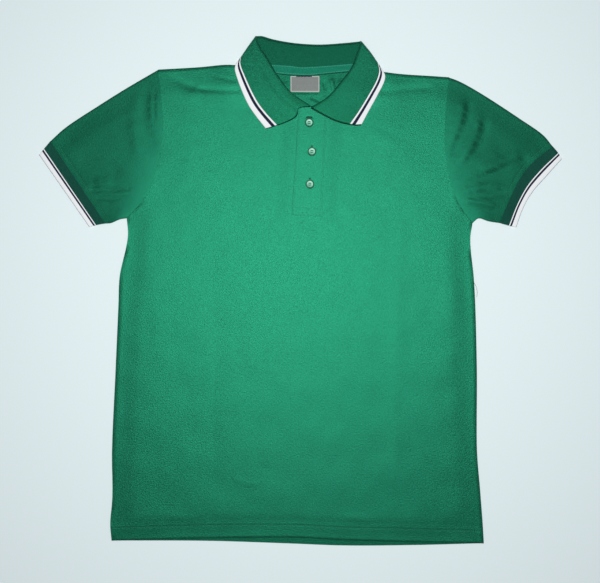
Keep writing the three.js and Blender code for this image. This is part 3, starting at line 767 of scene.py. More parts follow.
# %% Collar folds
FRONT_STAND = (4.1 * MM, 5.9 * MM)
BACK_STAND = (1.9 * MM, 3.2 * MM)
LEAF_TOP = 10 * MM
ROLL_WIDTH = 3.2 * MM
LEAF_WIDTH = 50 * MM
LEAF_LENGTH = 115 * MM
STAND_WIDTH = 40 * MM
BACK_LENGTH = 154 * MM
TIPPING = 10.9 * MM
STRIP_LENGTH = 380 * MM
BACK_START = 0.026  # where the plain back begins, past the turn at the crease


def leaf_ground(points):
    """What the collar's leaves lie on: the front, and the upper strip over the placket."""
    over = 1 - smooth(np.abs(points[..., 0] / MM - 16), 26, 40)
    return front_high(points) + GAP + 0.2 * MM + over * (CLOTH + GAP)


def leaf_low(points, v):
    """The underside of a leaf, which comes down from the roll to the shirt."""
    share = smooth(v, 0, 1)
    return (LEAF_TOP - RIB) * (1 - share) + leaf_ground(points) * share


def side_areas(half, table):
    """The leaf and the stand of one side of the collar, u from the crease to the front end."""
    leaf = area(half["roll"], half["leaf_edge"], half["crease"], half["leaf_end"])
    start = curve([table["stand_neck"][0], table["roll"][0]])
    end = curve([table["stand_neck"][-1], table["roll"][-1]])
    return leaf, area(half["stand_neck"], half["roll"], start, end)


left_leaf, left_stand = side_areas(left, LEFT)
right_leaf, right_stand = side_areas(right, RIGHT)
back_stand_area = between(MIDDLE["back_neck"], MIDDLE["collar_top"])
creases = reverse(left["crease"]), reverse(right["crease"])
back_fall_area = area(middle["fall_edge"], middle["collar_top"], *creases)

TURNS = np.radians([-60, -30, 0, 30, 60])
SHELL = RIB / 2
roll_start = SHELL + ROLL_WIDTH
roll_lines = left["roll"], middle["collar_top"], right["roll"]
print("the collar rolls over along", round(sum(line.length for line in roll_lines), 3), "m")

# %% [markdown]
# ## Laying the collar
# The strip is a grid. Its columns run from the left end to the left crease, along the back, and from the
# right crease to the right end. Its rows run from the neck seam over the roll to the outer edge. Each
# column knows how far it has turned from the front of the shirt to the back, and each row how far it has
# rolled over.

# %% The collar's columns and rows
side_count, back_count, stand_count, leaf_count = 60, 64, 14, 20


def column_list():
    """Each column: part, share along it, and how far it has turned from front (1) to back (-1)."""
    side = [("left", share, 1.0) for share in np.linspace(1, roll_start / LEAF_LENGTH, side_count)]
    bends = [(SHELL + ROLL_WIDTH * (1 - math.cos(a)), math.sin(a)) for a in -TURNS]
    turn = [("left", bend / LEAF_LENGTH, level) for bend, level in bends if level > 0.1]
    under = [("back", bend / BACK_LENGTH, level) for bend, level in bends if level < 0.1]
    back = [("back", share, -1.0) for share in np.linspace(BACK_START, 1 - BACK_START, back_count)]
    mirror = [("back", 1 - share, level) for _, share, level in reversed(under)]
    mirror += [("right", share, level) for _, share, level in reversed(side + turn)]
    return side + turn + under + back + mirror


def row_list():
    """Each row: which side of the roll it is on, the distance from the roll, and how far it has turned."""
    shares = np.linspace(1, roll_start / STAND_WIDTH, stand_count)
    stand = [(-1, share * STAND_WIDTH, -1.0) for share in shares]
    turn = [(1, SHELL + ROLL_WIDTH * (1 - math.cos(a)), math.sin(a)) for a in TURNS]
    plain = [(1, inset, 1.0) for inset in np.linspace(roll_start, LEAF_WIDTH - TIPPING, leaf_count)]
    tipped = [(1, inset, 1.0) for inset in np.linspace(LEAF_WIDTH - TIPPING, LEAF_WIDTH, 8)[1:]]
    return stand + turn + plain + tipped


columns, rows = column_list(), row_list()
print("the collar has", len(columns), "columns and", len(rows), "rows")

# %% Where the collar's knit lies
def collar_plan(part, share, side, inset):
    """Where points of one part of the collar lie, seen from above."""
    if part == "back":
        stand, leaf = back_stand_area, lambda u, v: back_fall_area(u, 1 - v)
    else:
        leaf, stand = (left_leaf, left_stand) if part == "left" else (right_leaf, right_stand)
    on_stand = stand(share, 1 - inset / STAND_WIDTH)
    return np.where((side < 0)[:, None], on_stand, leaf(share, inset / LEAF_WIDTH))


def collar_height(plan, facing, side, inset, folded):
    """The height of the middle of the knit, between the four layers that it folds through."""
    rise = np.where(side < 0, 1 - inset / STAND_WIDTH, 1)
    drop = np.where(side > 0, inset / LEAF_WIDTH, 0)
    front_stand = FRONT_STAND[0] + (FRONT_STAND[1] - FRONT_STAND[0]) * np.sqrt(np.clip(rise, 0, 1))
    back_stand = BACK_STAND[0] + (BACK_STAND[1] - BACK_STAND[0]) * rise
    front, leaf = (facing + 1) / 2, (folded + 1) / 2
    stand_height = back_stand + (front_stand - back_stand) * front
    return stand_height * (1 - leaf) + leaf_low(plan, drop) * front * leaf + SHELL


at_roll = collar_height(np.zeros((1, 2)), np.ones(1), np.ones(1), np.zeros(1), np.ones(1))
print("the middle of the knit is", np.round(at_roll / MM, 2), "mm up at the roll")

# %% Lay the collar's middle surface
parts = np.array([column[0] for column in columns])
share, facing = (np.array([column[k] for column in columns]) for k in (1, 2))
side, inset, folded = (np.array([row[k] for row in rows], float)[:, None] for k in range(3))
size = (len(rows), len(columns))
share, facing, side, inset, folded = (
    np.broadcast_to(values, size).ravel() for values in (share, facing, side, inset, folded)
)
parts = np.broadcast_to(parts, size).ravel()
plan = np.zeros((len(parts), 2))
for part in ("left", "back", "right"):
    here = parts == part
    plan[here] = collar_plan(part, share[here], side[here], inset[here])
middle_surface = np.column_stack([plan, collar_height(plan, facing, side, inset, folded)])
from_edge = (LEAF_WIDTH - side * inset).reshape(size)
strip = np.linspace(0, STRIP_LENGTH, len(columns))

bm = bmesh.new()
bmesh.ops.create_grid(bm, x_segments=len(columns) - 1, y_segments=len(rows) - 1, size=0.5)
uv = bm.loops.layers.uv.new("cloth")
for vert in bm.verts:
    column = round((vert.co.x + 0.5) * (len(columns) - 1))
    row = round((vert.co.y + 0.5) * (len(rows) - 1))
    for loop in vert.link_loops:
        loop[uv].uv = (strip[column], from_edge[row, column])
    vert.co = Vector(middle_surface[row * len(columns) + column])
bmesh.ops.recalc_face_normals(bm, faces=bm.faces)
collar = to_object(bm, "collar_knit")
wall = collar.modifiers.new("knit thickness", "SOLIDIFY")
wall.thickness = RIB
wall.offset = 0
wall.use_even_offset = False
heights = read_points(collar.data)[:, 2]
print("collar", len(collar.data.polygons), "faces")
print("collar from", round(heights.min() / MM, 2), "to", round(heights.max() / MM, 2), "mm")

# %% [markdown]
# ## Placket, tape and label
# The box placket is two strips, the one with the buttonholes over the one with the buttons. The tape hides
# the seam where the collar joins the back, and the label hangs from under it. They are flat pieces like the
# body, only smaller, so each gets its own fine grid over its own edges. The label's face is left blank.

# %% Rows and columns of the placket strips
SLOT_WIDTH, SLOT_LENGTH = 43 * MM, 156 * MM
CLEAR = 0.02 * MM
near_edge = np.array([CLEAR, 0.35 * MM, 0.7 * MM, 1.2 * MM, 1.8 * MM, 2.6 * MM, 3.6 * MM])
plain_strip = np.linspace(5 * MM, SLOT_WIDTH - 5 * MM, 30)
strip_columns = np.concatenate([near_edge, plain_strip, SLOT_WIDTH - near_edge[::-1]]) / SLOT_WIDTH
along_strip = np.concatenate([near_edge, np.linspace(5 * MM, SLOT_LENGTH, 130)]) / SLOT_LENGTH
strip_rows = SIDE_SHARE + (1 - SIDE_SHARE) * along_strip
BOX_ROWS = (1.6 * MM, 12.2 * MM)
EDGE_ROW = 1.7 * MM
TAPE_BASE, TAPE_TOP = 3.7 * MM, 4.3 * MM


print("a strip has", len(strip_columns), "columns and", len(strip_rows), "rows")

# %% The strips' edges and furrows
def strip_places(u, v):
    """Distances from the strip's left edge, right edge and lower end."""
    rise = (v - SIDE_SHARE) / (1 - SIDE_SHARE) * SLOT_LENGTH
    return (u * SLOT_WIDTH, (1 - u) * SLOT_WIDTH, rise)


def rolled(distance, width=1.3 * MM):
    """1 at an edge, falling to 0 in a round shoulder a little way in."""
    share = np.clip(1 - distance / width, 0, 1)
    return share * share


def strip_drop(u, v, sides):
    """How far the strip's edges roll down, for the given heights at its left, right and lower edges."""
    return np.max([size * rolled(place) for size, place in zip(sides, strip_places(u, v))], axis=0)


TOP_REACH = 4.5 * MM
CORNER = 4.5 * MM


def strip_area(u, v):
    """The upper strip's plan, which runs a little past the neck seam and has a rounded corner there."""
    past = np.maximum(v - 1, 0) / (1 - SIDE_SHARE) * SLOT_LENGTH
    from_left = u * SLOT_WIDTH
    short = np.clip(1 - from_left / CORNER, 0, 1)
    cut = CORNER * (1 - np.sqrt(1 - short * short)) * past / TOP_REACH
    return slot_area(u, np.minimum(v, 1)) + np.column_stack([np.zeros_like(u), past - cut])


def top_roll(u, v):
    """How far the upper strip's own top edge rolls down."""
    past = np.maximum(v - 1, 0) / (1 - SIDE_SHARE) * SLOT_LENGTH
    return 0.7 * MM * rolled(TOP_REACH - past, 1.6 * MM)


def strip_pull(u, v):
    """The furrows that the placket's stitches pull into it."""
    from_left, from_right, rise = strip_places(u, v)
    furrow = sum(np.exp(-(((place - EDGE_ROW) / (0.7 * MM)) ** 2)) for place in (from_left, from_right))
    furrow = furrow + sum(np.exp(-(((rise - row) / (0.7 * MM)) ** 2)) for row in BOX_ROWS)
    return 0.16 * MM * np.minimum(furrow, 1.2)


print("a furrow is", np.round(strip_pull(np.array([EDGE_ROW / SLOT_WIDTH]), 1.0) / MM, 2), "mm deep")

# %% The strips' heights
def under_high(points, u, v):
    """The upper surface of the strip with the buttons."""
    return front_high(points) - strip_drop(u, v, (0.2 * MM,) * 3)


def over_low(points, u, v):
    """The underside of the strip with the buttonholes."""
    return front_high(points) + GAP - strip_drop(u, v, (0.3 * MM,) * 3)


HOLLOWS = {"button_top": (5.5, 0.7), "button_middle": (2.2, 0.45), "button_bottom": (1.8, 0.4)}


def button_hollows(points):
    """The cloth is drawn down just above each button, where the buttonhole ends. Width and depth in mm."""
    x, y = points[..., 0] / MM, points[..., 1] / MM - ZERO[1]
    total = np.zeros(points.shape[:-1])
    for name, (width, depth) in HOLLOWS.items():
        at_x, at_y = BUTTONS[name]
        total += depth * MM * np.exp(-(((x - at_x) / width) ** 2) - ((y - at_y - 8.2) / 1.7) ** 2)
    return total


def over_high(points, u=0.5, v=0.9):
    """The upper surface of the strip with the buttonholes, by default away from its rolled edges."""
    u, v = (np.broadcast_to(value, len(points)) for value in (u, v))
    drop = strip_drop(u, v, (0.22 * MM, 0.06 * MM, 0.18 * MM)) + top_roll(u, v)
    return front_high(points) + GAP + CLOTH - drop - strip_pull(u, v) - button_hollows(points)


def tape_low(v):
    return TAPE_BASE + (TAPE_TOP - TAPE_BASE) * v


def label_low(points):
    return back_high(points) + GAP


at_button = drawn([BUTTONS["button_middle"]])
print("the upper strip is", np.round(over_high(at_button) / MM, 2), "mm up at the middle button")

# %% Sew the placket, tape and label
under_strip = flat_piece(
    "placket_under", slot_area, strip_columns, strip_rows, lambda p, u, v: front_low(p), under_high
)
past_rows = 1 + (1 - SIDE_SHARE) * np.array([1, 2, 2.9, 3.5, 4, 4.3, 4.5]) * MM / SLOT_LENGTH
over_rows = np.concatenate([strip_rows, past_rows])
over_strip = flat_piece("placket_over", strip_area, strip_columns, over_rows, over_low, over_high)
tape_area = between(MIDDLE["tape_bottom"], MIDDLE["tape_top"])
tape = flat_piece(
    "neck_tape_woven", tape_area, np.linspace(0, 1, 60), np.linspace(0, 1, 8),
    lambda p, u, v: tape_low(v), lambda p, u, v: tape_low(v) + TRIM,
)
label_area = between(MIDDLE["label_bottom"], MIDDLE["label_top"])
label_patch = flat_piece(
    "neck_label_blank", label_area, np.linspace(0, 1, 40), np.linspace(0, 1, 24),
    lambda p, u, v: label_low(p), lambda p, u, v: label_low(p) + TRIM,
)
for strip_piece in (tape, label_patch):
    soften(strip_piece)
for strip_piece in (under_strip, over_strip):
    soften(strip_piece, 0.08 * MM)
print("tape is", round(middle["tape_top"].length, 3), "m long")

# %% [markdown]
# ## Stitches
# Seams are what makes a shirt read as sewn. A stitch on top of the cloth is a short bead of thread, pulled
# into a furrow, so each is a small long drop laid along its row. One function follows any line in space,
# and the rows are listed by where they run on their pieces: the twin-needle hem, the placket, the cuffs,
# the side vents, the tape and the label. The buttonholes use the same function with the stitches turned
# across.

# %% Rows of thread
def sew(bm, line, pitch=2.9 * MM, length=2.1 * MM, width=0.5 * MM, height=0.3 * MM, across=False):
    """Lays a row of stitches along a line in space, end to end or turned across it."""
    along = np.concatenate([[0], np.cumsum(np.linalg.norm(np.diff(line, axis=0), axis=1))])
    count = max(1, int(along[-1] / pitch))
    for place in (np.arange(count) + 0.5) * along[-1] / count:
        reach = min(length, pitch) / 2
        ends = (place - reach, place + reach)
        start, end = (Vector([np.interp(at, along, line[:, k]) for k in range(3)]) for at in ends)
        ahead = (end - start).normalized()
        side = Vector((0, 0, 1)).cross(ahead).normalized()
        axes = Matrix((ahead, side, ahead.cross(side))).transposed().to_4x4()
        size = (width, length, height) if across else (length, width, height)
        turn = Matrix.Translation((start + end) / 2) @ axes @ Matrix.Diagonal((*(s / 2 for s in size), 1))
        bmesh.ops.create_uvsphere(bm, u_segments=6, v_segments=4, radius=1, matrix=turn)


def on_surface(plan, height, above=0.05 * MM):
    """A line of plan points lifted onto a surface."""
    return np.column_stack([plan, height + above])


straight = on_surface(drawn([(0, 0), (29, 0)]), np.zeros(2))
print("a row of", int(np.linalg.norm(straight[1] - straight[0]) / (2.9 * MM)), "stitches is 29 mm long")

# %% Stitch the body
UNDERSIDE_STITCH = 0.16 * MM
NEEDLE_RISE = 0.06 * MM
bm = bmesh.new()
across_front = np.linspace(0.01, 2.99, 500)
# The second hem row, the vents' rows and a short row at each armhole are beads of dark thread: painted shade
# for needle holes and seam edges.
hole_shade_beads = bmesh.new()
for depth, row in zip(HEM_ROWS, (bm, hole_shade_beads)):
    v = np.full_like(across_front, cloth_row(depth))
    plan = front_area(across_front, v)
    line = on_surface(plan, front_surface(plan, across_front, v), NEEDLE_RISE)
    sew(row, line, 2.7 * MM, 1.5 * MM, 0.75 * MM)
up_vent = np.linspace(0.0005, cloth_row(50 * MM), 40)
for across in (0.04, 2.948):
    u = np.full_like(up_vent, across)
    plan = front_area(u, up_vent)
    line = on_surface(plan, front_surface(plan, u, up_vent), NEEDLE_RISE)
    sew(hole_shade_beads, line, 3.2 * MM, 1.6 * MM, 0.6 * MM)
for half in (left, right):
    plan = half["armhole"](np.linspace(0.01, 0.13, 20))
    sew(hole_shade_beads, on_surface(plan, front_high(plan), 0), 1.5 * MM, 1.5 * MM, 0.8 * MM)
stitches_front = to_object(bm, "stitches_front")
needle_hole_shade = to_object(hole_shade_beads, "needle_hole_painted_shade_front")

bm = bmesh.new()
across_back = np.linspace(0.01, 0.99, 500)
for depth in HEM_ROWS:
    v = np.full_like(across_back, cloth_row(depth))
    sew(bm, on_surface(back_area(across_back, v), np.full_like(v, UNDERSIDE_STITCH), 0))
stitches_back = to_object(bm, "stitches_back")

stitches_sleeves = []
for name, half in (("left", left), ("right", right)):
    bm = bmesh.new()
    v = np.linspace(0.03, 0.97, 90)
    u = 1 - CUFF_ROW / arm_length(v)
    plan = sleeve_area(half)(u, v)
    sew(bm, on_surface(plan, sleeve_high(plan), 0.1 * MM))
    sew(bm, on_surface(plan, np.full_like(v, UNDERSIDE_STITCH), 0))
    stitches_sleeves.append(to_object(bm, f"stitches_sleeve_{name}"))
print("stitches", len(stitches_front.data.polygons), len(stitches_back.data.polygons), "faces on the body")

# %% [markdown]
# ## Buttonholes
# A buttonhole is a slit between two rows of stitches that lie across it, closed by a bar at its end. The
# slit is one long dark drop of thread, painted shade for the gap. Above each button a dark patch of thread is
# painted shade, where the cloth is drawn down and the light does not reach.

# %% Stitch the placket and its buttonholes
bm = bmesh.new()
edge = EDGE_ROW / SLOT_WIDTH
last = 1 + (1 - SIDE_SHARE) * (TOP_REACH - 1.7 * MM) / SLOT_LENGTH
up = np.linspace(SIDE_SHARE + (1 - SIDE_SHARE) * BOX_ROWS[0] / SLOT_LENGTH, last, 140)
over = np.linspace(edge, 1 - edge, 60)
rows_of_thread = [(np.full_like(up, edge), up), (np.full_like(up, 1 - edge), up)]
for level in (*(SIDE_SHARE + (1 - SIDE_SHARE) * row / SLOT_LENGTH for row in BOX_ROWS), last):
    rows_of_thread.append((over, np.full_like(over, level)))
for u, v in rows_of_thread:
    plan = strip_area(u, v)
    sew(bm, on_surface(plan, over_high(plan, u, v), 0.02 * MM), width=0.42 * MM, height=0.24 * MM)
for x, y in BUTTONS.values():
    ends = np.linspace(y - 5, y + 8.6, 30)
    for side in (-0.8, 0.8):
        plan = drawn([(x + side, at) for at in ends])
        line = on_surface(plan, over_high(plan))
        sew(bm, line, pitch=0.6 * MM, length=1.2 * MM, width=0.5 * MM, height=0.35 * MM, across=True)
    plan = drawn([(x + side, y + 9) for side in (-1.4, 0, 1.4)])
    line = on_surface(plan, over_high(plan))
    sew(bm, line, pitch=0.5 * MM, length=1.3 * MM, width=0.5 * MM, height=0.35 * MM, across=True)
stitches_placket = to_object(bm, "stitches_placket")

# Each slit is one long bead of dark thread: painted shade for the gap of the buttonhole.
bm = bmesh.new()
for x, y in BUTTONS.values():
    plan = drawn([(x, y - 5), (x, y + 2), (x, y + 8.8)])
    line = on_surface(plan, over_high(plan))
    sew(bm, line, pitch=14 * MM, length=13.4 * MM, width=0.9 * MM, height=0.2 * MM)
# A dark patch of thread just above each button: painted shade in the hollow there.
for name, reach, width in (("button_top", 4.6, 2.7), ("button_middle", 1.3, 2), ("button_bottom", 1.1, 2)):
    x, y = BUTTONS[name]
    plan = drawn([(x - reach, y + 8.6), (x, y + 9.1), (x + reach, y + 8.4)])
    line = on_surface(plan, over_high(plan))
    sew(bm, line, pitch=1.2 * MM, length=1.5 * MM, width=width * MM, height=0.4 * MM)
buttonhole_shade = to_object(bm, "buttonhole_painted_shade")
print("buttonholes", len(buttonhole_shade.data.polygons), "faces")

# %% [markdown]
# ## Tape, label and collar ends
# The tape is sewn on along both its edges with paler thread, and a row of dark thread under its lower edge is
# painted shadow, where the tape stands off the back. The label hangs from a row of navy stitches. The
# collar's two ends are turned in and pulled under, and a row of dark thread along each is painted shadow
# there, thicker on the side that lies on top.

# %% Stitch the tape and the label
bm = bmesh.new()
across_tape = np.linspace(0.01, 0.99, 60)
for level in (0.17, 0.9):
    v = np.full_like(across_tape, level)
    sew(bm, on_surface(tape_area(across_tape, v), tape_low(v) + TRIM), 2.4 * MM, 2 * MM, 0.8 * MM)
stitches_tape = to_object(bm, "stitches_tape")
# A row of dark thread just under the tape's lower edge: painted shadow of the tape's edge.
bm = bmesh.new()
v = np.full_like(across_tape, 0.02)
sew(bm, on_surface(tape_area(across_tape, v), tape_low(v) + TRIM), 2 * MM, 2 * MM, 1.1 * MM)
tape_edge_painted_shadow = to_object(bm, "tape_edge_painted_shadow")
bm = bmesh.new()
plan = label_area(np.linspace(0.2, 0.74, 20), np.full(20, 0.97))
line = on_surface(plan, label_low(plan) + TRIM)
sew(bm, line, pitch=2 * MM, length=2.2 * MM, width=2 * MM, height=0.6 * MM)
stitches_label = to_object(bm, "stitches_label")

# Rows of dark thread along the collar's ends, thicker on the right: painted shadow under the lifted ends.
bm = bmesh.new()
for half, turn, start, width in ((left, 1, 0.3, 1.1 * MM), (right, -1, 0, 2.2 * MM)):
    plan = half["leaf_end"](np.linspace(start, 0.99, 60))
    ahead = np.gradient(plan, axis=0)
    ahead /= np.linalg.norm(ahead, axis=1)[:, None]
    plan = plan + turn * 0.35 * width * np.column_stack([-ahead[:, 1], ahead[:, 0]])
    sew(bm, on_surface(plan, leaf_ground(plan), 0), 1.6 * MM, 1.8 * MM, width, 0.8 * MM)
collar_end_shadows = to_object(bm, "collar_end_painted_shadows")
print("collar ends", len(collar_end_shadows.data.polygons), "faces")

# %% [markdown]
# ## Buttons
# A shirt button is turned from a moulded blank: a round rim, a shallow dish and four holes for the thread.
# The dish is drawn as circles and filled between them, the rim is a few rings bridged together, and the
# holes are real tubes, so the dark of each hole is the dark inside it. The thread crosses the holes in two
# bars, and it also fills the little gap under the button, which is the shank that lets it through the
# buttonhole.

# %% Turn the buttons
BUTTON_RINGS = [  # radius, height in millimetres, from the dish over the rim to the underside
    (3.9, 2.1), (4.4, 2.25), (4.9, 2.65), (5.25, 2.8), (5.7, 2.75), (6.05, 2.4), (6.23, 1.9), (6.25, 1.2),
    (6.1, 0.6), (5.7, 0.15), (5.2, 0),
]
HOLE_RADIUS, HOLE_PLACE = 0.72, 1.3  # millimetres
BUTTON_RADIUS = 6.25  # millimetres


def circle(bm, radius, height, segments, x=0.0, y=0.0):
    """The edges of one circle, in millimetres."""
    place = Matrix.Translation((x * MM, y * MM, height * MM))
    made = bmesh.ops.create_circle(bm, cap_ends=False, segments=segments, radius=radius * MM, matrix=place)
    return list({edge for vert in made["verts"] for edge in vert.link_edges})


def turn_button(name, x, y, base):
    """One four-hole button standing on a height."""
    bm = bmesh.new()
    rings = [circle(bm, radius, height, 48) for radius, height in BUTTON_RINGS]
    for inner, outer in zip(rings, rings[1:]):
        bmesh.ops.bridge_loops(bm, edges=inner + outer)
    holes = [(a * HOLE_PLACE, b * HOLE_PLACE) for a in (-1, 1) for b in (-1, 1)]
    above = [circle(bm, HOLE_RADIUS, BUTTON_RINGS[0][1], 12, *hole) for hole in holes]
    below = [circle(bm, HOLE_RADIUS, 0, 12, *hole) for hole in holes]
    bmesh.ops.triangle_fill(bm, use_beauty=True, edges=rings[0] + [edge for hole in above for edge in hole])
    bmesh.ops.triangle_fill(bm, use_beauty=True, edges=rings[-1] + [edge for hole in below for edge in hole])
    for upper, lower in zip(above, below):
        bmesh.ops.bridge_loops(bm, edges=upper + lower)
    bmesh.ops.recalc_face_normals(bm, faces=bm.faces)
    layer = bm.loops.layers.uv.new("cloth")
    for face in bm.faces:
        for loop in face.loops:
            loop[layer].uv = loop.vert.co.xy
    bmesh.ops.translate(bm, vec=(x, y, base), verts=bm.verts)
    return to_object(bm, name)


turned, threads = {}, bmesh.new()
for name, (x, y) in BUTTONS.items():
    turns = np.linspace(0, 6.28, 9)
    rim = drawn([(x + BUTTON_RADIUS * math.cos(a), y + BUTTON_RADIUS * math.sin(a)) for a in turns])
    base = float((front_high(rim) + GAP + CLOTH).max()) + GAP
    centre_x, centre_y = (Vector((x, y)) + Vector(ZERO)) * MM
    turned[name] = turn_button(f"{name}_turned", centre_x, centre_y, base)
    for side in (-1, 1):
        bar = [(x - 1.9, y + side * HOLE_PLACE), (x + 1.9, y + side * HOLE_PLACE)]
        line = on_surface(drawn(bar), np.full(2, base + 2.25 * MM))
        sew(threads, line, pitch=3.8 * MM, length=3.6 * MM, width=0.95 * MM, height=0.7 * MM)
    shank = on_surface(drawn([(x - 2, y), (x + 2, y)]), np.full(2, base - 0.15 * MM), 0)
    sew(threads, shank, pitch=4 * MM, length=3.6 * MM, width=3.4 * MM, height=0.5 * MM)
button_threads = to_object(threads, "button_threads")
print("button faces", [len(piece.data.polygons) for piece in turned.values()])

# %% [markdown]
# ## Lint
# New cloth is never quite clean. One dark speck lies on the front, and two loose ends of thread show beside
# the right side seam and at the hem, each laid as a few stitches along a short line.

# %% Lint and loose ends
bm = bmesh.new()
speck = drawn([(-116.2, -41), (-114.4, -41.6)])
sew(bm, on_surface(speck, front_high(speck)), pitch=1.9 * MM, length=1.8 * MM, width=1.2 * MM)
SIDE_END = [(253.5, 12), (257, 6), (258.4, -2), (257.6, -9)]
HEM_END = [(252, -366.6), (257, -368.6), (262.4, -368)]
for loose in map(drawn, (SIDE_END, HEM_END)):
    sew(bm, on_surface(loose, front_high(loose) + 0.3 * MM), pitch=1.7 * MM, length=2.2 * MM, width=0.4 * MM)
lint = to_object(bm, "lint_and_loose_ends")
print("lint", len(lint.data.polygons), "faces")

# %% [markdown]
# ## Light, table and camera
# The photograph was taken from straight above, with the light close to the camera. That is why the middle
# of the shirt is bright and its sides fall off to a third of that, though the white table hardly changes:
# the knit's fine polyester loops throw the light back the way it came. So one soft lamp hangs near the
# lens, a pale sky fills the shadows, and the knit's own sheen does the rest.

# %% Stage
def new_material(name, values):
    """A material whose shader has the given values. Gives the material, its node tree and the shader."""
    material = bpy.data.materials.new(name)
    material.use_nodes = True
    shader = material.node_tree.nodes["Principled BSDF"]
    for socket, value in values.items():
        shader.inputs[socket].default_value = value
    return material, material.node_tree, shader


bm = bmesh.new()
bmesh.ops.create_grid(bm, x_segments=1, y_segments=1, size=4)
bmesh.ops.translate(bm, vec=(0, 0, -0.05 * MM), verts=bm.verts)
table = to_object(bm, "table")
white_table, _, _ = new_material("white table", {"Base Color": (0.84, 0.95, 0.97, 1), "Roughness": 0.9})
table.data.materials.append(white_table)

sky = bpy.data.worlds.new("pale sky")
bpy.context.scene.world = sky
sky.use_nodes = True
background = sky.node_tree.nodes["Background"]
background.inputs["Color"].default_value = (0.93, 0.97, 1.0, 1)
background.inputs["Strength"].default_value = 0.16

light = bpy.data.lights.new("key", "AREA")
light.shape = "ELLIPSE"
light.size, light.size_y = 0.34, 0.8
light.energy = 19
lamp = bpy.data.objects.new("key", light)
bpy.context.scene.collection.objects.link(lamp)
lamp.location = (0, 0.12, 1.5)
lamp.rotation_euler = (Vector((0, 0.04, 0)) - lamp.location).to_track_quat("-Z", "Y").to_euler()

camera_data = bpy.data.cameras.new("overhead")
camera_data.lens = 55
camera_data.sensor_width = 36
camera = bpy.data.objects.new("overhead", camera_data)
bpy.context.scene.collection.objects.link(camera)
FRAME_WIDTH = 0.876
camera.location = (-0.0007, -0.0007, FRAME_WIDTH * camera_data.lens / camera_data.sensor_width + 0.004)
bpy.context.scene.camera = camera
bpy.context.scene.view_settings.view_transform = "Standard"
print("camera height", round(camera.location.z, 3), "m")

# %% [markdown]
# ## Knitted finishes
# From a metre away the knit reads as one colour with a fine grain, but close up it is all structure. The
# body is a pique: small raised cells in staggered rows. The collar and cuffs are a flat rib, fine columns
# of loops that run from the seam to the edge. Each structure is a shader node group with a pitch and a
# vector as its inputs, so the same weave serves several pieces. The vector is the cloth's own UV map, laid
# in metres, which makes the pattern follow a sleeve or a folded collar instead of sliding over it.

# %% Node helpers
def add_node(tree, kind, inputs=None, **settings):
    """A node with its settings, whose inputs are values or other nodes' outputs."""
    node = tree.nodes.new(kind)
    for name, value in settings.items():
        setattr(node, name, value)
    for name, value in (inputs or {}).items():
        if isinstance(value, bpy.types.NodeSocket):
            tree.links.new(value, node.inputs[name])
        else:
            node.inputs[name].default_value = value
    return node


def calculate(operation, first, second=0.0):
    """One step of arithmetic between two values or outputs, in the tree that the outputs belong to."""
    output = first if isinstance(first, bpy.types.NodeSocket) else second
    tree = output.node.id_data
    return add_node(tree, "ShaderNodeMath", {0: first, 1: second}, operation=operation).outputs[0]


def plus(first, second):
    return calculate("ADD", first, second)


def minus(first, second):
    return calculate("SUBTRACT", first, second)


def times(first, second):
    return calculate("MULTIPLY", first, second)


def size_of(value):
    return calculate("ABSOLUTE", value)


def waves(coordinate, pitch):
    """A sine along one coordinate with one wave to a pitch."""
    return calculate("SINE", times(calculate("DIVIDE", coordinate, pitch), 2 * math.pi))


def ramp(value, start, end, low=0.0, high=1.0, **settings):
    """A value carried from one range onto another, and held at its ends."""
    inputs = {"Value": value, "From Min": start, "From Max": end, "To Min": low, "To Max": high}
    return add_node(value.node.id_data, "ShaderNodeMapRange", inputs, **settings).outputs["Result"]


def noise(vector, scale, detail):
    """A soft unevenness over the surface, from 0 to 1."""
    inputs = {"Vector": vector, "Scale": scale, "Detail": detail}
    return add_node(vector.node.id_data, "ShaderNodeTexNoise", inputs).outputs["Fac"]


def split(vector):
    """The x, y and z of a vector."""
    return tuple(add_node(vector.node.id_data, "ShaderNodeSeparateXYZ", {0: vector}).outputs)


operations = bpy.types.ShaderNodeMath.bl_rna.properties["operation"].enum_items
print("a Math node knows", len(operations), "operations")

# %% Shaders, colours and groups
def wire(shader, socket, value):
    """Links an output to one of a shader's sockets."""
    shader.id_data.links.new(value, shader.inputs[socket])


def emboss(shader, height, distance):
    """Raises the surface by a height, through its normals."""
    inputs = {"Height": height, "Strength": 1.0, "Distance": distance}
    wire(shader, "Normal", add_node(shader.id_data, "ShaderNodeBump", inputs).outputs["Normal"])


def mixed(mask, under, over):
    """Two colours mixed by a mask."""
    under, over = (c if isinstance(c, bpy.types.NodeSocket) else (*c, 1) for c in (under, over))
    tree = mask.node.id_data
    return add_node(tree, "ShaderNodeMix", {0: mask, 6: under, 7: over}, data_type="RGBA").outputs[2]


def new_group(name, defaults, outputs):
    """A node group with a vector, other inputs with their defaults, and outputs. Gives its two ends too."""
    group = bpy.data.node_groups.new(name, "ShaderNodeTree")
    group.interface.new_socket(name="Vector", in_out="INPUT", socket_type="NodeSocketVector")
    for label, default in defaults.items():
        socket = group.interface.new_socket(name=label, in_out="INPUT", socket_type="NodeSocketFloat")
        socket.default_value = default
    for label in outputs:
        group.interface.new_socket(name=label, in_out="OUTPUT", socket_type="NodeSocketFloat")
    return group, group.nodes.new("NodeGroupInput").outputs, group.nodes.new("NodeGroupOutput").inputs


table_shader = white_table.node_tree.nodes["Principled BSDF"]
print("a shader has", len(table_shader.inputs), "sockets")

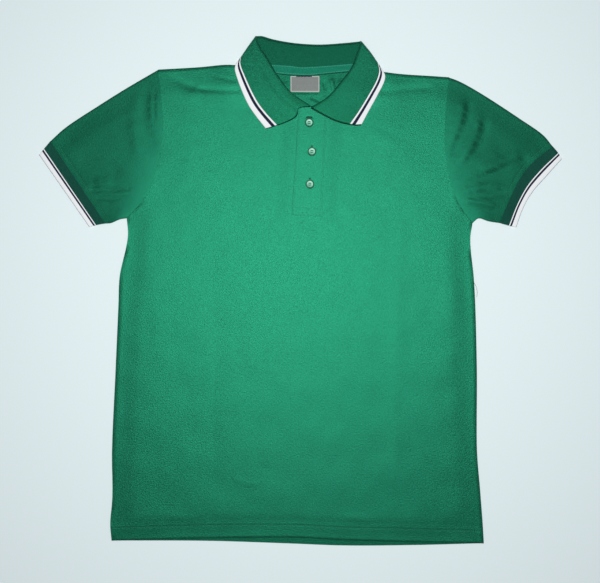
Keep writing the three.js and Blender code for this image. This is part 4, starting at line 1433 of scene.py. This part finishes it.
# %% Pique: raised cells in staggered rows
pique_weave, given, result = new_group("pique weave", {"Pitch": 1.3 * MM}, ["Height"])
x, y, _ = split(given["Vector"])
cells = times(waves(x, given["Pitch"]), waves(y, times(given["Pitch"], 1.25)))
yarn = noise(given["Vector"], 2600.0, 1.0)
pique_weave.links.new(times(plus(cells, times(yarn, 0.7)), 0.5), result["Height"])
print("pique has", len(pique_weave.nodes), "nodes")

# %% Rib: columns of loops
rib_weave, given, result = new_group("rib weave", {"Pitch": 1.4 * MM}, ["Height"])
x, y, _ = split(given["Vector"])
columns_of_loops = size_of(waves(x, times(given["Pitch"], 2.0)))
loops_along = waves(plus(y, times(columns_of_loops, 0.5 * MM)), times(given["Pitch"], 0.8))
rib_weave.links.new(plus(columns_of_loops, times(loops_along, 0.25)), result["Height"])
print("rib has", len(rib_weave.nodes), "nodes")

# %% Twill: the slanting threads of the tape and the label
twill_weave, given, result = new_group("twill weave", {"Pitch": 0.9 * MM, "Turn": 4 * MM}, ["Height"])
x, y, _ = split(given["Vector"])
zigzag = calculate("PINGPONG", y, given["Turn"])
twill_weave.links.new(waves(plus(x, zigzag), given["Pitch"]), result["Height"])
print("twill has", len(twill_weave.nodes), "nodes")

# %% Mottle: the uneven take-up of the dye
mottle, given, result = new_group("dye mottle", {"Size": 2 * MM}, ["Fine", "Broad"])
for label, spread, detail in (("Fine", 1.0, 3.0), ("Broad", 12.0, 2.0)):
    scale = calculate("DIVIDE", 1.0, times(given["Size"], spread))
    mottle.links.new(noise(given["Vector"], scale, detail), result[label])
print("mottle has", len(mottle.nodes), "nodes")

# %% [markdown]
# ## Tipping stripes
# The stripes of a polo's collar and cuffs are knitted in, by changing the yarn for a few rows. So they
# follow the rib's edge at a fixed distance, wavering by half a stitch, and they cannot be printed straight
# across. The group measures the distance from the edge and gives a mask for each yarn, and each rib has its
# own distances.

# %% Tipping: white, navy and white yarn in from the knitted edge
BLEED = 0.12 * MM
tipping, given, result = new_group(
    "tipping stripes", {"From Edge": 0.0, "Edge Line": 0.0, "First": 6 * MM, "Second": 8.5 * MM},
    ["White", "Navy", "Edge"],
)
shake = noise(given["Vector"], 900.0, 1.0)
from_rib_edge = plus(given["From Edge"], times(minus(shake, 0.5), 0.5 * MM))
past_line, past_first, past_second = (
    ramp(from_rib_edge, minus(given[label], BLEED), plus(given[label], BLEED))
    for label in ("Edge Line", "First", "Second")
)
navy = minus(past_first, past_second)
edge_line = minus(1.0, past_line)
white = minus(minus(1.0, navy), edge_line)
for label, mask in (("White", white), ("Navy", navy), ("Edge", edge_line)):
    tipping.links.new(mask, result[label])
print("node groups", [group.name for group in bpy.data.node_groups])

# %% [markdown]
# ## Green knit
# Dyed polyester is dark and slightly shiny, and what it reflects is tinted by its own fibres. The tint and
# the strength of the reflection are the same all over, so they are set on the shader itself. Only what
# changes over the cloth comes from nodes: its colour, its roughness and the small relief of the loops.

# %% Cloth materials
Finish = namedtuple("Finish", "material shader vector colour")
GREEN_TINT, NO_TINT = (0.07, 1.0, 0.54), (1, 1, 1)
PIQUE_DARK, PIQUE_LIGHT = (0.0008, 0.008, 0.005), (0.0045, 0.062, 0.036)
LABEL_YARNS = ((0.16, 0.19, 0.18), (0.26, 0.29, 0.28))
PIQUE = (pique_weave, 1.3 * MM, 0.1 * MM)
RIBBED = (rib_weave, 1.3 * MM, 0.15 * MM)
TAPED = (twill_weave, 0.9 * MM, 0.08 * MM)
WOVEN = (twill_weave, 0.6 * MM, 0.05 * MM)


def cloth_material(name, dark, light, roughness, weave, pitch, relief, ior, tint=GREEN_TINT):
    """A knitted or woven finish, whose dye, roughness and relief change over the cloth."""
    material, tree, shader = new_material(name, {
        "IOR": ior, "Specular IOR Level": 1.0, "Specular Tint": (*tint, 1),
        "Sheen Weight": 0.08, "Sheen Roughness": 0.6, "Sheen Tint": (*tint, 1),
    })
    vector = add_node(tree, "ShaderNodeUVMap", uv_map="cloth").outputs["UV"]
    loops = add_node(tree, "ShaderNodeGroup", {"Vector": vector, "Pitch": pitch}, node_tree=weave).outputs
    dye = add_node(tree, "ShaderNodeGroup", {"Vector": vector, "Size": 2 * MM}, node_tree=mottle).outputs
    shade = plus(times(dye["Fine"], 0.85), times(dye["Broad"], 0.15))
    dyed = mixed(ramp(shade, 0.41, 0.61), dark, light)
    wire(shader, "Base Color", dyed)
    wire(shader, "Roughness", ramp(dye["Fine"], 0.0, 1.0, roughness - 0.04, roughness + 0.04))
    emboss(shader, plus(loops["Height"], times(dye["Fine"], 3.0)), relief)
    return Finish(material, shader, vector, dyed)


pique = cloth_material("pique knit", PIQUE_DARK, PIQUE_LIGHT, 0.43, *PIQUE, 1.72)
reverse_pique = cloth_material("pique knit reverse", PIQUE_DARK, PIQUE_LIGHT, 0.43, *PIQUE, 1.55)
# The sleeves' pique is a copy of the body's with a darker light colour: painted shade, as the sleeves lie
# turned away from the lamp.
painted_sleeve_pique = cloth_material("pique knit with painted light and shade", PIQUE_DARK, (0.004, 0.05, 0.03), 0.45, *PIQUE, 1.52)
collar_rib = cloth_material("collar rib", (0.001, 0.012, 0.007), (0.004, 0.062, 0.034), 0.44, *RIBBED, 1.6)
stand_rib = cloth_material(
    "collar stand rib", (0.0012, 0.022, 0.013), (0.002, 0.03, 0.018), 0.5, *RIBBED, 1.46
)
cuff_rib = cloth_material("cuff rib", (0.006, 0.018, 0.021), (0.009, 0.027, 0.029), 0.5, *RIBBED, 1.4)
tape_weave = cloth_material("neck tape", (0.007, 0.135, 0.083), (0.011, 0.18, 0.115), 0.5, *TAPED, 1.6)
label_weave = cloth_material("woven label", *LABEL_YARNS, 0.5, *WOVEN, 1.4, NO_TINT)
for piece in (front, back, under_strip, over_strip):
    piece.data.materials.append(pique.material)
back.data.materials.append(reverse_pique.material)
for face in back.data.polygons:
    face.material_index = int(face.normal.z > 0.5)
for piece in sleeves:
    piece.data.materials.append(painted_sleeve_pique.material)
tape.data.materials.append(tape_weave.material)
label_patch.data.materials.append(label_weave.material)
print("the back's inside has", sum(face.material_index for face in back.data.polygons), "faces")

# %% [markdown]
# ## Where light is painted into the colour
# The sleeves are painted lighter under the arms and the collar is painted greener at its two ends: painted
# light, because the cloth is turned another way to the lamp there. Both are soft changes of colour along the
# cloth's own UV map. The label has a pale woven border round a face of fine grey picks, also measured in its
# UV map.

# %% Painted light on the sleeves and the collar's ends, and the label's border
SLEEVE_FADE, UNDERARM_PAINTED_LIGHT, COLLAR_END_PAINTED_LIGHT = 0.7, (0.012, 0.18, 0.10), (0.004, 0.085, 0.04)
# The sleeves' colour turns lighter towards the underarm: painted light, where the cloth leans towards the
# lamp.
around, outwards, _ = split(painted_sleeve_pique.vector)
climb = plus(calculate("DIVIDE", size_of(around), SLEEVE_ROUND / 0.6), times(outwards, 5.0))
above_arm = ramp(climb, 0.0, SLEEVE_FADE, interpolation_type="SMOOTHSTEP")
wire(painted_sleeve_pique.shader, "Base Color", mixed(above_arm, UNDERARM_PAINTED_LIGHT, painted_sleeve_pique.colour))

# The collar's two ends are painted greener and lighter: painted light, where the knit turns towards the lamp.
from_middle = size_of(minus(split(collar_rib.vector)[0], STRIP_LENGTH / 2))
collar_end_light_mask = ramp(from_middle, 0.1, 0.185)
wire(collar_rib.shader, "Base Color", mixed(collar_end_light_mask, collar_rib.colour, COLLAR_END_PAINTED_LIGHT))

x, y, _ = split(label_weave.vector)
low_corner, high_corner = drawn([(-14.6, 290.2), (27.7, 313.5)])
half_size, centre = (high_corner - low_corner) / 2, (high_corner + low_corner) / 2
inside = [minus(half_size[k], size_of(minus(place, centre[k]))) for k, place in enumerate((x, y))]
border = calculate("LESS_THAN", calculate("MINIMUM", *inside), 1.5 * MM)
picks = plus(times(waves(y, 0.8 * MM), 0.5), 0.5)
wire(label_weave.shader, "Base Color", mixed(border, mixed(picks, *LABEL_YARNS), (0.5, 0.53, 0.5)))
print("label", np.round(2 * half_size / MM, 1), "mm")

# %% Striped ribs
WHITE_YARN = (0.93, 0.95, 0.97)
NAVY_YARN = (0.004, 0.009, 0.035)
GREY_YARN = (0.2, 0.24, 0.27)


def tipping_material(name, seam_to_edge, edge_line, first, second):
    """The white and navy stripes of a rib, measured in from its knitted edge."""
    weave = (rib_weave, 1.3 * MM, 0.12 * MM)
    finish = cloth_material(name, (0.88, 0.9, 0.93), WHITE_YARN, 0.7, *weave, 1.4, NO_TINT)
    finish.shader.inputs["Specular IOR Level"].default_value = 0.3
    finish.shader.inputs["Sheen Weight"].default_value = 0
    y = split(finish.vector)[1]
    from_edge = minus(seam_to_edge, y) if seam_to_edge else y
    inputs = {"Vector": finish.vector, "From Edge": from_edge, "Edge Line": edge_line}
    inputs.update({"First": first, "Second": second})
    stripes = add_node(finish.shader.id_data, "ShaderNodeGroup", inputs, node_tree=tipping).outputs
    colour = finish.colour
    for label, yarn_colour in (("White", WHITE_YARN), ("Navy", NAVY_YARN), ("Edge", GREY_YARN)):
        colour = mixed(stripes[label], colour, yarn_colour)
    wire(finish.shader, "Base Color", colour)
    return finish.material


def finish_rib(piece, materials, which):
    """Gives a rib's parts their own finishes, face by face, by the distance along it."""
    for material in materials:
        piece.data.materials.append(material)
    layer = piece.data.uv_layers["cloth"].data
    for face in piece.data.polygons:
        face.material_index = which(sum(layer[index].uv[1] for index in face.loop_indices) / face.loop_total)


def collar_part(from_edge):
    """0 on the fall, 1 on the stripes, 2 on the stand."""
    return 1 if from_edge < TIPPING else 2 if from_edge > LEAF_WIDTH + SHELL else 0


def cuff_part(from_seam):
    """0 on the plain rib, 1 on the stripes."""
    return int(from_seam > CUFF_PLAIN)


collar_tipping = tipping_material("collar tipping", 0, 0, 5.7 * MM, 9 * MM)
cuff_tipping = tipping_material("cuff tipping", CUFF_DEPTH, 0.5 * MM, 6.8 * MM, 9.6 * MM)
finish_rib(collar, (collar_rib.material, collar_tipping, stand_rib.material), collar_part)
for piece in cuffs:
    finish_rib(piece, (cuff_rib.material, cuff_tipping), cuff_part)
print("striped faces", [sum(face.material_index == 1 for face in p.data.polygons) for p in (collar, *cuffs)])

# %% [markdown]
# ## Thread and buttons
# Sewing thread is two twisted yarns, so it is a little uneven in colour and relief. Thread in the dark colour
# is partly real, as lint and as the thread that holds the buttons, and partly painted shade for the holes,
# slits and edges that let no light out, and so it hardly shines. The buttons are moulded green: the rim is
# plain and deep, and the dish swirls from green to nearly white, a painted reflection strongest on the side
# that leans to the lamp.

# %% Thread and button materials
def thread_material(name, color, shine=0.5):
    """Twisted sewing thread."""
    material, tree, shader = new_material(name, {"Roughness": 0.6, "Specular IOR Level": shine})
    twist = noise(add_node(tree, "ShaderNodeTexCoord").outputs["Object"], 1500.0, 2.0)
    wire(shader, "Base Color", mixed(twist, [c * 0.7 for c in color], [c * 1.3 for c in color]))
    emboss(shader, twist, 0.05 * MM)
    return material


seams = (stitches_front, stitches_back, *stitches_sleeves, stitches_placket)
# The dark pieces are real lint and button thread, together with slits, holes and edges painted as shade.
dark_thread_and_shade = (buttonhole_shade, button_threads, lint, needle_hole_shade, tape_edge_painted_shadow, collar_end_shadows)
for pieces, look in (
    (seams, ("green thread", (0.02, 0.22, 0.14))),
    (dark_thread_and_shade, ("dark thread and painted shade", (0.003, 0.025, 0.016), 0.12)),
    ((stitches_label,), ("navy thread", (0.008, 0.014, 0.045), 0.15)),
    ((stitches_tape,), ("pale green thread", (0.08, 0.45, 0.32))),
):
    material = thread_material(*look)
    for piece in pieces:
        piece.data.materials.append(material)

button_finish, tree, shader = new_material("moulded button", {"IOR": 1.42, "Specular IOR Level": 0.3})
place = add_node(tree, "ShaderNodeUVMap", uv_map="cloth").outputs["UV"]
radius = add_node(tree, "ShaderNodeVectorMath", {0: place}, operation="LENGTH").outputs["Value"]
# The dish's near-white colour, strongest on the side that leans to the lamp, is a painted reflection of the
# lamp on the green button.
lamp_side_highlight = add_node(tree, "ShaderNodeVectorMath", {0: place, 1: (40.0, 90.0, 0)}, operation="DOT_PRODUCT")
swirl = noise(place, 260.0, 3.0)
pearl_and_painted_reflection = mixed(plus(plus(lamp_side_highlight.outputs["Value"], 0.1), swirl), (0.06, 0.36, 0.22), (0.5, 0.9, 0.72))
wire(shader, "Base Color", mixed(ramp(radius, 4.3 * MM, 4.9 * MM), pearl_and_painted_reflection, (0.002, 0.09, 0.045)))
wire(shader, "Roughness", ramp(swirl, 0.0, 1.0, 0.18, 0.3))
for piece in turned.values():
    piece.data.materials.append(button_finish)
print("materials", [material.name for material in bpy.data.materials])

# %% [markdown]
# ## Handing the pieces over
# Every finer piece stands for one imported piece and replaces it. Thread and lint replace nothing: they are
# listed by the piece that they are sewn to. The shirt has no moving bodies, so every piece
# rides the root.

# %% Hand the pieces over
replaced = {
    front: "front_panel", back: "back_panel", sleeves[0]: "sleeve_left", sleeves[1]: "sleeve_right",
    cuffs[0]: "cuff_left", cuffs[1]: "cuff_right", collar: "collar", under_strip: "placket_lower",
    over_strip: "placket_upper", tape: "neck_tape", label_patch: "neck_label",
}
replaced.update({piece: name for name, piece in turned.items()})
for piece, node in replaced.items():
    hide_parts(node)
    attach(piece, "root")
sewn_on = {
    "pique_knit": (*seams, buttonhole_shade, needle_hole_shade, button_threads, lint),
    "neck_tape": (tape_edge_painted_shadow, stitches_tape), "label": (stitches_label,), "collar_rib": (collar_end_shadows,),
}
for slot, pieces in sewn_on.items():
    for piece in pieces:
        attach(piece, "root")
print(len(replaced), "pieces replace packed ones,", sum(map(len, sewn_on.values())), "are sewn on")
